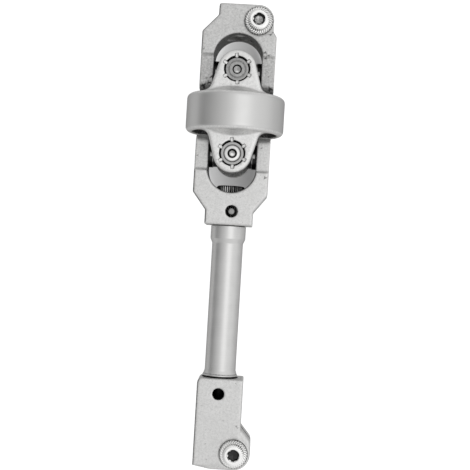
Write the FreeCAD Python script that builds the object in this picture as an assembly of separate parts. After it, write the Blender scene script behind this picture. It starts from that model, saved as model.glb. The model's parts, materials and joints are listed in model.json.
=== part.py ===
"""Intermediate steering shaft with a double universal joint, in millimetres.

Every piece is drawn in the shaft's own frame: the shaft lies along Y, its column end points to +Y, the screw
heads look to +Z, and the middle of the coupling ring is the zero of Y. At the end the whole shaft is tilted
about X until the ring and the lower clamp both rest on Z = 0, and moved so that the middle of its footprint is
the origin.
"""
import FreeCAD, Part

import math
import os

from FreeCAD import Matrix, Placement, Rotation, Vector

# Universal joint
CROSS_SPACING = 50.7
TRUNNION_D = 9.0
TRUNNION_CHAMFER = 0.8
TRUNNION_END_PLAY = 0.2
CROSS_HUB_D = 12.6
CROSS_CORE_D = 17.0
BEARING_PLAY = 0.02

# Bearing cups, needles and seals
CUP_D = 15.0
CUP_BELOW_FORK_FACE = 2.7
CUP_BELOW_RING_FACE = 2.0
CUP_WALL = 1.0
CUP_LENGTH = 8.4
CUP_FLOOR = 2.2
CUP_RIM_BEVEL = 0.7
CUP_RIM_WIDTH = 2.0
CUP_GROOVE_WIDTH = 0.8
CUP_GROOVE_DEPTH = 0.5
CUP_DIMPLE_D = 5.4
CUP_DIMPLE_DEPTH = 1.3
CUP_SEAT_PLAY = 0.01
NEEDLE_LENGTH = 5.0
NEEDLE_END_PLAY = 0.05
NEEDLE_GAP = 0.1
NEEDLE_SIDES = 6
SEAL_LIP = 1.0
SEAL_D = 14.2
SEAL_HEIGHT = 2.2
SEAL_PLAY = 0.05
STAKE_COUNT = 6
STAKE_WIDTH = 1.7
STAKE_REACH = 0.9
STAKE_ROOT = 0.3
STAKE_NOTCH_LENGTH = 1.7
STAKE_NOTCH_DEPTH = 0.7
STAKE_CLEARANCE = 0.05
STAKE_TURN_DEG = 4.0

# Coupling ring
RING_D = 60.5
RING_HEIGHT = 23.5
RING_WALL = 4.3
RING_EDGE_RADIUS = 3.0
RING_INNER_BEVEL = 0.6
EAR_THICKNESS = 7.0
EAR_EDGE_RADIUS = 1.5
EAR_END_RADIUS = 11.6
EAR_ROOT_WIDTH = 31.8
EAR_ROOT_FILLET = 5.0
EAR_WEB_RUN = 3.2

# Forks of the two yokes
FORK_SPAN = 45.4
FORK_ARM_THICKNESS = 8.1
FORK_DEPTH = 26.4
FORK_EAR_RADIUS = 11.4
FORK_SHOULDER = 10.5
FORK_SHOULDER_RUN = 1.6
FORK_ARCH_DEPTH = 23.0
FORK_WIDE_END = 23.7
FORK_EDGE_BEVEL = 0.8
FORK_TIP_RADIUS = 5.0
FORK_CORNER_RADIUS = 1.6

# Lower yoke, its pin and the splined stub shaft
YOKE_NECK_WIDTH = 29.2
YOKE_NECK_START = 34.2
YOKE_END = 42.8
PIN_HOLE_D = 7.3
PIN_D = 4.4
PIN_PLACE = 34.4
PIN_OUT = 1.4
PIN_LENGTH = 23.6
STUB_D = 17.4
STUB_TOOTH_DEPTH = 0.55
STUB_TEETH = 40
STUB_STAND = 4.4
STUB_CHAMFER = 0.8
STUB_CENTRE_D = 4.0
STUB_TAIL_D = 13.0
STUB_TAIL_LENGTH = 44.0
STUB_PLAY = 0.02

# Upper clamp yoke
UPPER_CLAMP_END = 41.3
UPPER_CLAMP_NECK_LEFT = 13.2
UPPER_CLAMP_NECK_START = 34.0
UPPER_CLAMP_RIGHT = 20.6
UPPER_CLAMP_RIGHT_STEP = 1.6
UPPER_BOLT_OUT = 11.3
UPPER_BOLT_PLACE = 31.3
UPPER_SLIT_RUNOUT = 2.0

# Shaft tube
TUBE_D = 19.0
TUBE_COLLAR_D = 21.5
TUBE_COLLAR_LENGTH = 8.2
TUBE_COLLAR_TAPER = 2.8
TUBE_FLARE_D = 21.3
TUBE_FLARE_LENGTH = 3.6
TUBE_LENGTH = 93.0
TUBE_SPIGOT_D = 16.4
TUBE_SPIGOT_LENGTH = 20.0
TUBE_PLAY = 0.05
TUBE_EDGE_RADIUS = 0.4

# Lower clamp
LOWER_CLAMP_LENGTH = 52.8
LOWER_CLAMP_LEFT = 13.2
LOWER_CLAMP_RIGHT = 14.7
LOWER_CLAMP_EDGE_RADIUS = 1.2
LOWER_CLAMP_TOP_RADIUS = 3.0
LOWER_HOLE_D = 7.0
LOWER_HOLE_PLACE = 9.2
LOWER_BOLT_OUT = 11.2
LOWER_BOLT_PLACE = 44.6
LOWER_BOSS_RADIUS = 10.0
LOWER_BOSS_RUN = 15.2
LOWER_BOSS_SHOULDER = 7.6
LOWER_BOSS_UNDERSIDE = -3.0
LOWER_BOSS_CORNER_RADIUS = 5.0
LOWER_BOSS_EDGE_RADIUS = 1.8
LOWER_BORE_LENGTH = 30.0

# Clamp bores and their pinch bolts
CLAMP_BORE_D = 14.0
CLAMP_BORE_CHAMFER = 0.8
CLAMP_SLIT = 3.0
LOWER_SLIT_LENGTH = 26.0
BOLT_D = 8.0
BOLT_PLAY = 0.05
BOLT_LENGTH = 25.0
BOLT_HEAD_D = 13.0
BOLT_HEAD_HEIGHT = 5.0
BOLT_HEAD_CHAMFER = 1.0
SOCKET_D = 8.0
SOCKET_ROOT_D = 5.8
SOCKET_LOBES = 6
SOCKET_LOBE_D = 1.9
SOCKET_DEPTH = 3.2
WASHER_D = 16.8
WASHER_TOOTH_DEPTH = 0.8
WASHER_TEETH = 32
WASHER_THICKNESS = 1.6
WASHER_BORE_D = 8.4
SPOTFACE_D = 18.6
SPOTFACE_DEPTH = 0.5

X = Vector(1, 0, 0)
Y = Vector(0, 1, 0)
Z = Vector(0, 0, 1)
ORIGIN = Vector(0, 0, 0)

UPPER_Y = CROSS_SPACING / 2
LOWER_Y = -CROSS_SPACING / 2
FORK_HALF = FORK_SPAN / 2
FORK_HALF_DEPTH = FORK_DEPTH / 2
FORK_HALF_GAP = FORK_HALF - FORK_ARM_THICKNESS
CUP_END = FORK_HALF - CUP_BELOW_FORK_FACE
CUP_MOUTH = CUP_END - CUP_LENGTH
TRUNNION_END = CUP_END - CUP_FLOOR - TRUNNION_END_PLAY
CROSS_SHOULDER = CUP_MOUTH - SEAL_PLAY - SEAL_HEIGHT - SEAL_PLAY
EAR_OUTER = CUP_END + CUP_BELOW_RING_FACE
EAR_INNER = EAR_OUTER - EAR_THICKNESS
CUP_BORE_R = CUP_D / 2 - CUP_WALL
NEEDLE_D = CUP_BORE_R - TRUNNION_D / 2 - 2 * BEARING_PLAY
YOKE_END_Y = LOWER_Y - YOKE_END
CLAMP_TOP_Y = YOKE_END_Y - TUBE_LENGTH
CLAMP_END_Y = CLAMP_TOP_Y - LOWER_CLAMP_LENGTH


def corner(before, point, after, radius):
    """Two tangent points and the middle point of the arc that rounds one corner of an outline."""
    to_before = (before - point).normalize()
    to_after = (after - point).normalize()
    half = to_before.getAngle(to_after) / 2
    reach = radius / math.tan(half)
    middle = (to_before + to_after).normalize()
    return (
        point + to_before * reach,
        point + middle * (radius / math.sin(half) - radius),
        point + to_after * reach,
    )


def outline(points):
    """A closed face in the XY plane from (x, y) points, where a third value rounds that corner."""
    places = [Vector(p[0], p[1], 0) for p in points]
    edges = []
    starts = []
    ends = []
    for i, point in enumerate(points):
        radius = point[2] if len(point) > 2 else 0
        if radius:
            start, middle, end = corner(places[i - 1], places[i], places[(i + 1) % len(places)], radius)
            edges.append(Part.Arc(start, middle, end).toShape())
        else:
            start = end = places[i]
            edges.append(None)
        starts.append(start)
        ends.append(end)
    path = []
    for i, arc in enumerate(edges):
        if arc:
            path.append(arc)
        following = starts[(i + 1) % len(starts)]
        if ends[i].distanceToPoint(following) > 1e-6:
            path.append(Part.LineSegment(ends[i], following).toShape())
    return Part.Face(Part.Wire(path))


def plate(points, bottom, top):
    """A solid plate of an outline in XY, from one height to another."""
    face = outline(points)
    face.translate(Vector(0, 0, bottom))
    return face.extrude(Vector(0, 0, top - bottom))


def side_plate(points, half_width):
    """A solid plate of an outline given as (y, z), centred on the plane X = 0."""
    face = outline(points)
    face.transformShape(Matrix(0, 0, 1, 0, 1, 0, 0, 0, 0, 1, 0, 0, 0, 0, 0, 1))
    face.translate(Vector(-half_width, 0, 0))
    return face.extrude(Vector(2 * half_width, 0, 0))


def turned(points):
    """A solid turned about Z from (radius, height) points, where a third value rounds that corner."""
    face = outline(points)
    face.rotate(ORIGIN, X, 90)
    return face.revolve(ORIGIN, Z, 360)


def turned_on_y(points):
    """A solid turned about Y from (radius, y) points."""
    return outline(points).revolve(ORIGIN, Y, 360)


def rod(diameter, length, base, direction):
    return Part.makeCylinder(diameter / 2, length, base, direction)


def along(shape, direction, centre):
    """A piece that was made along +Z, turned to another direction and moved to its centre."""
    piece = shape.copy()
    piece.Placement = Placement(centre, Rotation(Z, direction)).multiply(piece.Placement)
    return piece


def flipped_fork(shape):
    """A fork that opens to -Y, from one that opens to +Y."""
    return shape.mirror(ORIGIN, Y)


def cross():
    """Four trunnions on a forged core."""
    trunnion = turned([
        (0, 0),
        (CROSS_HUB_D / 2, 0),
        (CROSS_HUB_D / 2, CROSS_SHOULDER),
        (TRUNNION_D / 2, CROSS_SHOULDER),
        (TRUNNION_D / 2, TRUNNION_END - TRUNNION_CHAMFER),
        (TRUNNION_D / 2 - TRUNNION_CHAMFER, TRUNNION_END),
        (0, TRUNNION_END),
    ])
    arms = [along(trunnion, direction, ORIGIN) for direction in (X, Z, -Z, -X)]
    core = rod(CROSS_CORE_D, CROSS_HUB_D, Vector(0, -CROSS_HUB_D / 2, 0), Y)
    return arms[0].fuse(arms[1:] + [core]).removeSplitter()


def cup():
    """A drawn cup whose closed end has a bevelled rim, a groove, a raised disc and a centre dimple."""
    radius = CUP_D / 2
    groove = radius - CUP_RIM_WIDTH
    return turned([
        (0, CUP_END - CUP_FLOOR),
        (CUP_BORE_R, CUP_END - CUP_FLOOR),
        (CUP_BORE_R, CUP_MOUTH),
        (radius, CUP_MOUTH),
        (radius, CUP_END - CUP_RIM_BEVEL),
        (radius - CUP_RIM_BEVEL, CUP_END),
        (groove + CUP_GROOVE_WIDTH / 2, CUP_END),
        (groove, CUP_END - CUP_GROOVE_DEPTH),
        (groove - CUP_GROOVE_WIDTH / 2, CUP_END),
        (CUP_DIMPLE_D / 2, CUP_END),
        (0, CUP_END - CUP_DIMPLE_DEPTH),
    ])


def needles():
    """A full ring of loose needle rollers between the trunnion and its cup.

    A roller this thin is drawn as a prism whose corners lie on the roller's round.
    """
    pitch = TRUNNION_D / 2 + BEARING_PLAY + NEEDLE_D / 2
    count = int(2 * math.pi * pitch / (NEEDLE_D + NEEDLE_GAP))
    base = CUP_END - CUP_FLOOR - NEEDLE_END_PLAY - NEEDLE_LENGTH
    sides = [2 * math.pi * i / NEEDLE_SIDES for i in range(NEEDLE_SIDES)]
    points = [(pitch + NEEDLE_D / 2 * math.cos(a), NEEDLE_D / 2 * math.sin(a)) for a in sides]
    roller = plate(points, base, base + NEEDLE_LENGTH)
    rollers = []
    for i in range(count):
        copy = roller.copy()
        copy.rotate(ORIGIN, Z, 360 * i / count)
        rollers.append(copy)
    return Part.makeCompound(rollers)


def seal():
    """A lip seal that closes the cup's mouth against the shoulder of the cross."""
    shaft = TRUNNION_D / 2 + SEAL_PLAY
    shoulder = CROSS_SHOULDER + SEAL_PLAY
    mouth = CUP_MOUTH - SEAL_PLAY
    lip = CUP_BORE_R - SEAL_PLAY
    return turned([
        (shaft, shoulder),
        (SEAL_D / 2, shoulder),
        (SEAL_D / 2, mouth),
        (lip, mouth),
        (lip, mouth + SEAL_LIP),
        (shaft, mouth + SEAL_LIP),
    ])


def cup_bore(outer_face):
    """The bore that a cup is pressed into, made along +Z and cut right through an ear."""
    return rod(CUP_D + 2 * CUP_SEAT_PLAY, outer_face, Vector(0, 0, outer_face / 2), Z)


def around(shape):
    """Copies of a feature at the stakes' places round +Z."""
    copies = []
    for i in range(STAKE_COUNT):
        copy = shape.copy()
        copy.rotate(ORIGIN, Z, 90 + STAKE_TURN_DEG + 360 * i / STAKE_COUNT)
        copies.append(copy)
    return copies


def stakes(outer_face):
    """Metal tongues that the staking tool pushes from the ear's face over the cup's rim."""
    bore = CUP_D / 2 + CUP_SEAT_PLAY
    bottom = CUP_END + STAKE_CLEARANCE
    tongue = Part.makeBox(
        STAKE_REACH + STAKE_ROOT,
        STAKE_WIDTH,
        outer_face - STAKE_NOTCH_DEPTH - bottom,
        Vector(bore - STAKE_REACH, -STAKE_WIDTH / 2, bottom),
    )
    return around(tongue)


def stake_notches(outer_face):
    """Dents that the staking tool leaves in the ear's face beside the bore."""
    bore = CUP_D / 2 + CUP_SEAT_PLAY
    notch = Part.makeBox(
        STAKE_REACH + STAKE_NOTCH_LENGTH,
        STAKE_WIDTH,
        STAKE_NOTCH_DEPTH * 2,
        Vector(bore - STAKE_REACH, -STAKE_WIDTH / 2, outer_face - STAKE_NOTCH_DEPTH),
    )
    return around(notch)


def bear_cups(shape, directions, centre, outer_face):
    """An ear's body with a bore, its stakes and their dents in each of the given directions."""
    cuts = []
    tongues = []
    for direction in directions:
        cuts.append(along(cup_bore(outer_face), direction, centre))
        cuts += [along(notch, direction, centre) for notch in stake_notches(outer_face)]
        tongues += [along(tongue, direction, centre) for tongue in stakes(outer_face)]
    return shape.cut(cuts).fuse(tongues)


def fork(hub_points, edges_at):
    """A forged fork opening to +Y about its cross centre, from the outline of its hub in front view.

    The front view gives the arms, the arch between them and the hub. The side view gives each arm its rounded
    tip and the shoulder where the fork steps out to its full depth.
    """
    tip = FORK_EAR_RADIUS
    gap = FORK_HALF_GAP
    front = [
        (-FORK_HALF, tip),
        (-gap, tip),
        (-gap, -FORK_ARCH_DEPTH, gap),
        (gap, -FORK_ARCH_DEPTH, gap),
        (gap, tip),
        (FORK_HALF, tip),
    ]
    front = list(reversed(front)) + hub_points
    hub_end = min(point[1] for point in hub_points)
    shoulder = -FORK_SHOULDER
    side = [
        (tip, -tip, FORK_TIP_RADIUS),
        (tip, tip, FORK_TIP_RADIUS),
        (shoulder + FORK_SHOULDER_RUN, tip),
        (shoulder, FORK_HALF_DEPTH),
        (hub_end, FORK_HALF_DEPTH),
        (hub_end, -FORK_HALF_DEPTH),
        (shoulder, -FORK_HALF_DEPTH),
        (shoulder + FORK_SHOULDER_RUN, -tip),
    ]
    block = plate(front, -FORK_HALF_DEPTH, FORK_HALF_DEPTH)
    bevelled = [edge for edge in block.Edges if edges_at(edge)]
    block = block.makeChamfer(FORK_EDGE_BEVEL, bevelled)
    return block.common(side_plate(side, FORK_HALF))


def on_faces(half_depth):
    """A test for the edges that lie in the front or the back face of a plate."""
    def test(edge):
        heights = [vertex.Z for vertex in edge.Vertexes]
        return all(abs(abs(height) - half_depth) < 1e-6 for height in heights) and (
            abs(heights[0] - heights[-1]) < 1e-6
        )
    return test


def bolt_hole(x, y, half_depth):
    """A stepped hole for a pinch bolt along Z, with a spot face for its washer."""
    hole = rod(BOLT_D + 2 * BOLT_PLAY, 2 * half_depth, Vector(x, y, -half_depth), Z)
    spot = rod(SPOTFACE_D, FORK_DEPTH, Vector(x, y, half_depth - SPOTFACE_DEPTH), Z)
    return [hole, spot]


def clamp_bore(end, length, direction):
    """The bore for a splined shaft, its lead-in, and the way to it past a boss that overhangs the end face."""
    start = Vector(0, end, 0)
    bore = rod(CLAMP_BORE_D, length, start, direction)
    wide = CLAMP_BORE_D / 2 + CLAMP_BORE_CHAMFER
    lead = Part.makeCone(wide, CLAMP_BORE_D / 2, CLAMP_BORE_CHAMFER, start, direction)
    way = rod(2 * wide, LOWER_BOSS_RADIUS, start, -direction)
    return [bore, lead, way]


def slit(start, length):
    """The pinch slit from the bore to +X, over a length along Y."""
    return Part.makeBox(FORK_SPAN, length, CLAMP_SLIT, Vector(0, start, -CLAMP_SLIT / 2))


def lower_yoke():
    neck = YOKE_NECK_WIDTH / 2
    yoke = fork([
        (-FORK_HALF, -FORK_WIDE_END, FORK_CORNER_RADIUS),
        (-neck, -YOKE_NECK_START, FORK_CORNER_RADIUS),
        (-neck, -YOKE_END),
        (neck, -YOKE_END),
        (neck, -YOKE_NECK_START, FORK_CORNER_RADIUS),
        (FORK_HALF, -FORK_WIDE_END, FORK_CORNER_RADIUS),
    ], on_faces(FORK_HALF_DEPTH))
    bore = rod(STUB_D + 2 * STUB_PLAY, YOKE_END, Vector(0, -YOKE_END, 0), Y)
    pin_hole = rod(PIN_HOLE_D, FORK_DEPTH, Vector(PIN_OUT, -PIN_PLACE, -FORK_HALF_DEPTH), Z)
    yoke = yoke.cut([bore, pin_hole])
    return bear_cups(yoke, (X, -X), ORIGIN, FORK_HALF)


def upper_clamp_yoke():
    """The fork with a slotted clamp hub, drawn opening to +Y and flipped to open downwards."""
    top = -UPPER_CLAMP_END
    corner_radius = UPPER_CLAMP_RIGHT - UPPER_BOLT_OUT
    step = -FORK_WIDE_END
    yoke = fork([
        (-FORK_HALF, -FORK_WIDE_END, FORK_CORNER_RADIUS),
        (-UPPER_CLAMP_NECK_LEFT, -UPPER_CLAMP_NECK_START, FORK_CORNER_RADIUS),
        (-UPPER_CLAMP_NECK_LEFT, top, FORK_CORNER_RADIUS),
        (UPPER_CLAMP_RIGHT, top, corner_radius),
        (UPPER_CLAMP_RIGHT, step - UPPER_CLAMP_RIGHT_STEP),
        (FORK_HALF, step + UPPER_CLAMP_RIGHT_STEP),
    ], on_faces(FORK_HALF_DEPTH))
    cuts = clamp_bore(top, UPPER_CLAMP_END, Y)
    cuts.append(slit(top, UPPER_CLAMP_END - FORK_ARCH_DEPTH + UPPER_SLIT_RUNOUT))
    cuts += bolt_hole(UPPER_BOLT_OUT, -UPPER_BOLT_PLACE, FORK_HALF_DEPTH)
    yoke = yoke.cut(cuts)
    yoke = bear_cups(yoke, (X, -X), ORIGIN, FORK_HALF)
    return flipped_fork(yoke)


def ear_tangent():
    """The point where an ear's straight side meets its round end, from the ear's bearing centre."""
    root_x = EAR_ROOT_WIDTH / 2
    root_y = RING_HEIGHT / 2 - UPPER_Y
    far = math.hypot(root_x, root_y)
    angle = math.atan2(root_y, root_x) + math.acos(EAR_END_RADIUS / far)
    return EAR_END_RADIUS * math.cos(angle), EAR_END_RADIUS * math.sin(angle)


def ear_face():
    """The upper ear in front view: a root that fillets into the rim, straight sides and a round end."""
    tangent_x, tangent_y = ear_tangent()
    root = EAR_ROOT_WIDTH / 2
    foot = root + EAR_ROOT_FILLET + EAR_ROOT_FILLET
    rim = RING_HEIGHT / 2
    fillet = EAR_ROOT_FILLET
    left = Vector(-tangent_x, UPPER_Y + tangent_y, 0)
    right = Vector(tangent_x, UPPER_Y + tangent_y, 0)
    top = Vector(0, UPPER_Y + EAR_END_RADIUS, 0)
    foot_right = Vector(foot, rim, 0)
    foot_left = Vector(-foot, rim, 0)
    right_arc = corner(right, Vector(root, rim, 0), foot_right, fillet)
    left_arc = corner(foot_left, Vector(-root, rim, 0), left, fillet)
    base_right = Vector(foot, 0, 0)
    base_left = Vector(-foot, 0, 0)
    edges = [
        Part.Arc(left, top, right),
        Part.LineSegment(right, right_arc[0]),
        Part.Arc(*right_arc),
        Part.LineSegment(right_arc[2], foot_right),
        Part.LineSegment(foot_right, base_right),
        Part.LineSegment(base_right, base_left),
        Part.LineSegment(base_left, foot_left),
        Part.LineSegment(foot_left, left_arc[0]),
        Part.Arc(*left_arc),
        Part.LineSegment(left_arc[2], left),
    ]
    return Part.Face(Part.Wire([edge.toShape() for edge in edges]))


def on_ear_front(edge):
    """Whether an edge is part of the ear's front outline above its root."""
    ends = edge.Vertexes
    middle = edge.CenterOfMass
    return all(abs(vertex.Z - EAR_OUTER) < 1e-6 for vertex in ends) and middle.y > RING_HEIGHT / 2 + 1e-3


def ear():
    """The upper front ear, its root and the steep web that carries it on the ring's rim."""
    face = ear_face()
    face.translate(Vector(0, 0, EAR_INNER))
    root = face.extrude(Vector(0, 0, RING_D / 2 - EAR_INNER))
    rim = RING_HEIGHT / 2
    web_radius = RING_D / 2 - RING_EDGE_RADIUS
    web_end = rim + EAR_WEB_RUN
    skirt = turned_on_y([
        (0, 0),
        (web_radius, 0),
        (web_radius, rim),
        (EAR_OUTER, web_end),
        (0, web_end),
    ])
    web = root.common(skirt)
    blade = face.extrude(Vector(0, 0, EAR_THICKNESS))
    blade = blade.makeFillet(EAR_EDGE_RADIUS, [edge for edge in blade.Edges if on_ear_front(edge)])
    turned_edge = rod(2 * web_radius, CROSS_SPACING, ORIGIN, Y)
    return blade.common(turned_edge).fuse(web)


def coupling_ring():
    """The ring with four ears, whose inner faces run straight through the ring."""
    outer = RING_D / 2
    half = RING_HEIGHT / 2
    inner = outer - RING_WALL
    ring = turned_on_y([
        (inner, -half + RING_INNER_BEVEL),
        (inner + RING_INNER_BEVEL, -half),
        (outer, -half, RING_EDGE_RADIUS),
        (outer, half, RING_EDGE_RADIUS),
        (inner + RING_INNER_BEVEL, half),
        (inner, half - RING_INNER_BEVEL),
    ])
    front_up = ear()
    back_up = front_up.mirror(ORIGIN, Z)
    ears = [front_up, back_up, front_up.mirror(ORIGIN, Y), back_up.mirror(ORIGIN, Y)]
    body = ring.fuse(ears).removeSplitter()
    body = bear_cups(body, (Z, -Z), Vector(0, UPPER_Y, 0), EAR_OUTER)
    return bear_cups(body, (Z, -Z), Vector(0, LOWER_Y, 0), EAR_OUTER)


def serrated_disc(diameter, depth, teeth, length):
    """A round bar along +Z with pointed serrations round it."""
    points = []
    for i in range(2 * teeth):
        radius = diameter / 2 - (depth if i % 2 else 0)
        angle = math.pi * i / teeth
        points.append((radius * math.cos(angle), radius * math.sin(angle)))
    return plate(points, 0, length)


def stub_shaft():
    """The splined shaft that stands up in the lower fork and slides in the tube if the column is crushed."""
    length = YOKE_END - FORK_ARCH_DEPTH + STUB_STAND
    spline = serrated_disc(STUB_D, STUB_TOOTH_DEPTH, STUB_TEETH, length)
    radius = STUB_D / 2
    envelope = turned([
        (STUB_CENTRE_D / 2, length),
        (radius - STUB_CHAMFER, length),
        (radius, length - STUB_CHAMFER),
        (radius, 0),
        (0, 0),
        (0, length - STUB_CENTRE_D / 2),
    ])
    tail = rod(STUB_TAIL_D, STUB_TAIL_LENGTH, ORIGIN, -Z)
    body = spline.common(envelope).fuse(tail)
    body = along(body, Y, Vector(0, YOKE_END_Y, 0))
    pin_hole = rod(PIN_D, FORK_DEPTH, Vector(PIN_OUT, LOWER_Y - PIN_PLACE, -FORK_HALF_DEPTH), Z)
    return body.cut(pin_hole)


def yoke_pin():
    return rod(PIN_D, PIN_LENGTH, Vector(PIN_OUT, LOWER_Y - PIN_PLACE, -PIN_LENGTH / 2), Z)


def locating_hole():
    """The hole through the front of the lower clamp and of the tube's spigot behind it."""
    return rod(LOWER_HOLE_D, FORK_HALF_DEPTH, Vector(0, CLAMP_TOP_Y - LOWER_HOLE_PLACE, 0), Z)


def shaft_tube():
    """The outer tube: a collar against the yoke, a plain run and a flared end with a spigot."""
    bore = STUB_TAIL_D / 2 + TUBE_PLAY
    top = YOKE_END_Y
    end = CLAMP_TOP_Y
    tube = turned_on_y([
        (bore, top),
        (TUBE_COLLAR_D / 2, top, TUBE_EDGE_RADIUS),
        (TUBE_COLLAR_D / 2, top - TUBE_COLLAR_LENGTH),
        (TUBE_D / 2, top - TUBE_COLLAR_LENGTH - TUBE_COLLAR_TAPER),
        (TUBE_D / 2, end + TUBE_FLARE_LENGTH, TUBE_FLARE_LENGTH),
        (TUBE_FLARE_D / 2, end + TUBE_EDGE_RADIUS),
        (TUBE_FLARE_D / 2, end),
        (TUBE_SPIGOT_D / 2, end),
        (TUBE_SPIGOT_D / 2, end - TUBE_SPIGOT_LENGTH),
        (bore, end - TUBE_SPIGOT_LENGTH),
    ])
    return tube.cut(locating_hole())


def lower_clamp():
    """A slotted block with a socket for the tube, a bore for the gear's shaft and a bolt boss."""
    top = CLAMP_TOP_Y
    end = CLAMP_END_Y
    half = FORK_HALF_DEPTH
    block = plate([
        (-LOWER_CLAMP_LEFT, top, LOWER_CLAMP_TOP_RADIUS),
        (-LOWER_CLAMP_LEFT, end),
        (LOWER_CLAMP_RIGHT, end),
        (LOWER_CLAMP_RIGHT, top),
    ], -half, half)
    rounded = [edge for edge in block.Edges if on_faces(half)(edge)]
    block = block.makeFillet(LOWER_CLAMP_EDGE_RADIUS, rounded)
    bolt = Vector(LOWER_BOLT_OUT, top - LOWER_BOLT_PLACE, 0)
    reach = LOWER_BOSS_RADIUS
    boss_half = half - SPOTFACE_DEPTH
    boss = plate([
        (0, bolt.y + LOWER_BOSS_RUN),
        (-LOWER_CLAMP_LEFT, end),
        (LOWER_BOSS_UNDERSIDE, bolt.y - reach),
        (bolt.x + reach, bolt.y - reach, reach),
        (bolt.x + reach, bolt.y + LOWER_BOSS_SHOULDER, LOWER_BOSS_CORNER_RADIUS),
        (LOWER_CLAMP_RIGHT, bolt.y + LOWER_BOSS_RUN),
    ], -boss_half, boss_half)
    rounded = [edge for edge in boss.Edges if on_faces(boss_half)(edge)]
    boss = boss.makeFillet(LOWER_BOSS_EDGE_RADIUS, rounded)
    body = block.fuse(boss)
    socket = rod(TUBE_SPIGOT_D + 2 * TUBE_PLAY, TUBE_SPIGOT_LENGTH + TUBE_PLAY, Vector(0, top, 0), -Y)
    cuts = [socket, locating_hole(), slit(end - LOWER_BOSS_RADIUS, LOWER_SLIT_LENGTH + LOWER_BOSS_RADIUS)]
    cuts += clamp_bore(end, LOWER_BORE_LENGTH, Y)
    cuts += bolt_hole(bolt.x, bolt.y, half)
    return body.cut(cuts)


def pinch_bolt(x, y):
    """A cap screw along Z with a six-lobe socket, whose washer sits in the spot face."""
    head_base = FORK_HALF_DEPTH - SPOTFACE_DEPTH + WASHER_THICKNESS
    head_top = head_base + BOLT_HEAD_HEIGHT
    head = BOLT_HEAD_D / 2
    body = turned([
        (0, head_base - BOLT_LENGTH),
        (BOLT_D / 2 - BOLT_HEAD_CHAMFER, head_base - BOLT_LENGTH),
        (BOLT_D / 2, head_base - BOLT_LENGTH + BOLT_HEAD_CHAMFER),
        (BOLT_D / 2, head_base),
        (head, head_base),
        (head, head_top - BOLT_HEAD_CHAMFER),
        (head - BOLT_HEAD_CHAMFER, head_top),
        (0, head_top),
    ])
    floor = Vector(0, 0, head_top - SOCKET_DEPTH)
    tools = [rod(SOCKET_ROOT_D, SOCKET_DEPTH, floor, Z)]
    ring = SOCKET_D / 2 - SOCKET_LOBE_D / 2
    for i in range(SOCKET_LOBES):
        angle = 2 * math.pi * i / SOCKET_LOBES
        place = floor + Vector(ring * math.cos(angle), ring * math.sin(angle), 0)
        tools.append(rod(SOCKET_LOBE_D, SOCKET_DEPTH, place, Z))
    body = body.cut(tools)
    body.translate(Vector(x, y, 0))
    return body


def bolt_washer(x, y):
    """A lock washer with serrations round its edge."""
    disc = serrated_disc(WASHER_D, WASHER_TOOTH_DEPTH, WASHER_TEETH, WASHER_THICKNESS)
    disc = disc.cut(rod(WASHER_BORE_D, WASHER_THICKNESS, ORIGIN, Z))
    disc.translate(Vector(x, y, FORK_HALF_DEPTH - SPOTFACE_DEPTH))
    return disc


def bearings(prefix, centre):
    """The four cups of one cross with their needles and seals, as named pieces."""
    pieces = {}
    sides = {"front": Z, "back": -Z, "left": -X, "right": X}
    for side, direction in sides.items():
        pieces[prefix + "_" + side + "_cup"] = along(cup(), direction, centre)
        pieces[prefix + "_" + side + "_needles"] = along(needles(), direction, centre)
        pieces[prefix + "_" + side + "_seal"] = along(seal(), direction, centre)
    return pieces


def moved(shape, centre):
    piece = shape.copy()
    piece.translate(centre)
    return piece


def pieces_in_line():
    """Every piece of the shaft, laid straight along Y."""
    upper = Vector(0, UPPER_Y, 0)
    lower = Vector(0, LOWER_Y, 0)
    upper_bolt = (UPPER_BOLT_OUT, UPPER_Y + UPPER_BOLT_PLACE)
    lower_bolt = (LOWER_BOLT_OUT, CLAMP_TOP_Y - LOWER_BOLT_PLACE)
    pieces = {
        "upper_clamp_yoke": moved(upper_clamp_yoke(), upper),
        "upper_pinch_bolt": pinch_bolt(*upper_bolt),
        "upper_bolt_washer": bolt_washer(*upper_bolt),
        "upper_cross": moved(cross(), upper),
        "coupling_ring": coupling_ring(),
        "lower_cross": moved(cross(), lower),
        "lower_yoke": moved(lower_yoke(), lower),
        "yoke_pin": yoke_pin(),
        "stub_shaft": stub_shaft(),
        "shaft_tube": shaft_tube(),
        "lower_clamp": lower_clamp(),
        "lower_pinch_bolt": pinch_bolt(*lower_bolt),
        "lower_bolt_washer": bolt_washer(*lower_bolt),
    }
    pieces.update(bearings("upper", upper))
    pieces.update(bearings("lower", lower))
    return pieces


def rest_tilt():
    """The angle in degrees by which the shaft rises to its ring when ring and lower clamp lie on a table.

    Both touch the table with a rounded edge. The line between the two edge centres is tilted until the edges,
    each its own radius below its centre, are equally low.
    """
    along_y = (-RING_HEIGHT / 2 + RING_EDGE_RADIUS) - (CLAMP_END_Y + LOWER_CLAMP_EDGE_RADIUS)
    down = (RING_D / 2 - RING_EDGE_RADIUS) - (FORK_HALF_DEPTH - LOWER_CLAMP_EDGE_RADIUS)
    reach = math.hypot(along_y, down)
    slope = math.atan2(down, along_y)
    return math.degrees(slope + math.asin((RING_EDGE_RADIUS - LOWER_CLAMP_EDGE_RADIUS) / reach))


def rest_placement(pieces):
    """The placement that lays the shaft on Z = 0 with the middle of its footprint at the origin."""
    tilt = Placement(ORIGIN, Rotation(X, rest_tilt()))
    laid = Part.makeCompound([shape.copy() for shape in pieces.values()])
    laid.Placement = tilt
    box = laid.optimalBoundingBox(False)
    to_origin = Placement(Vector(-box.Center.x, -box.Center.y, -box.ZMin), Rotation())
    return to_origin.multiply(tilt)


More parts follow.
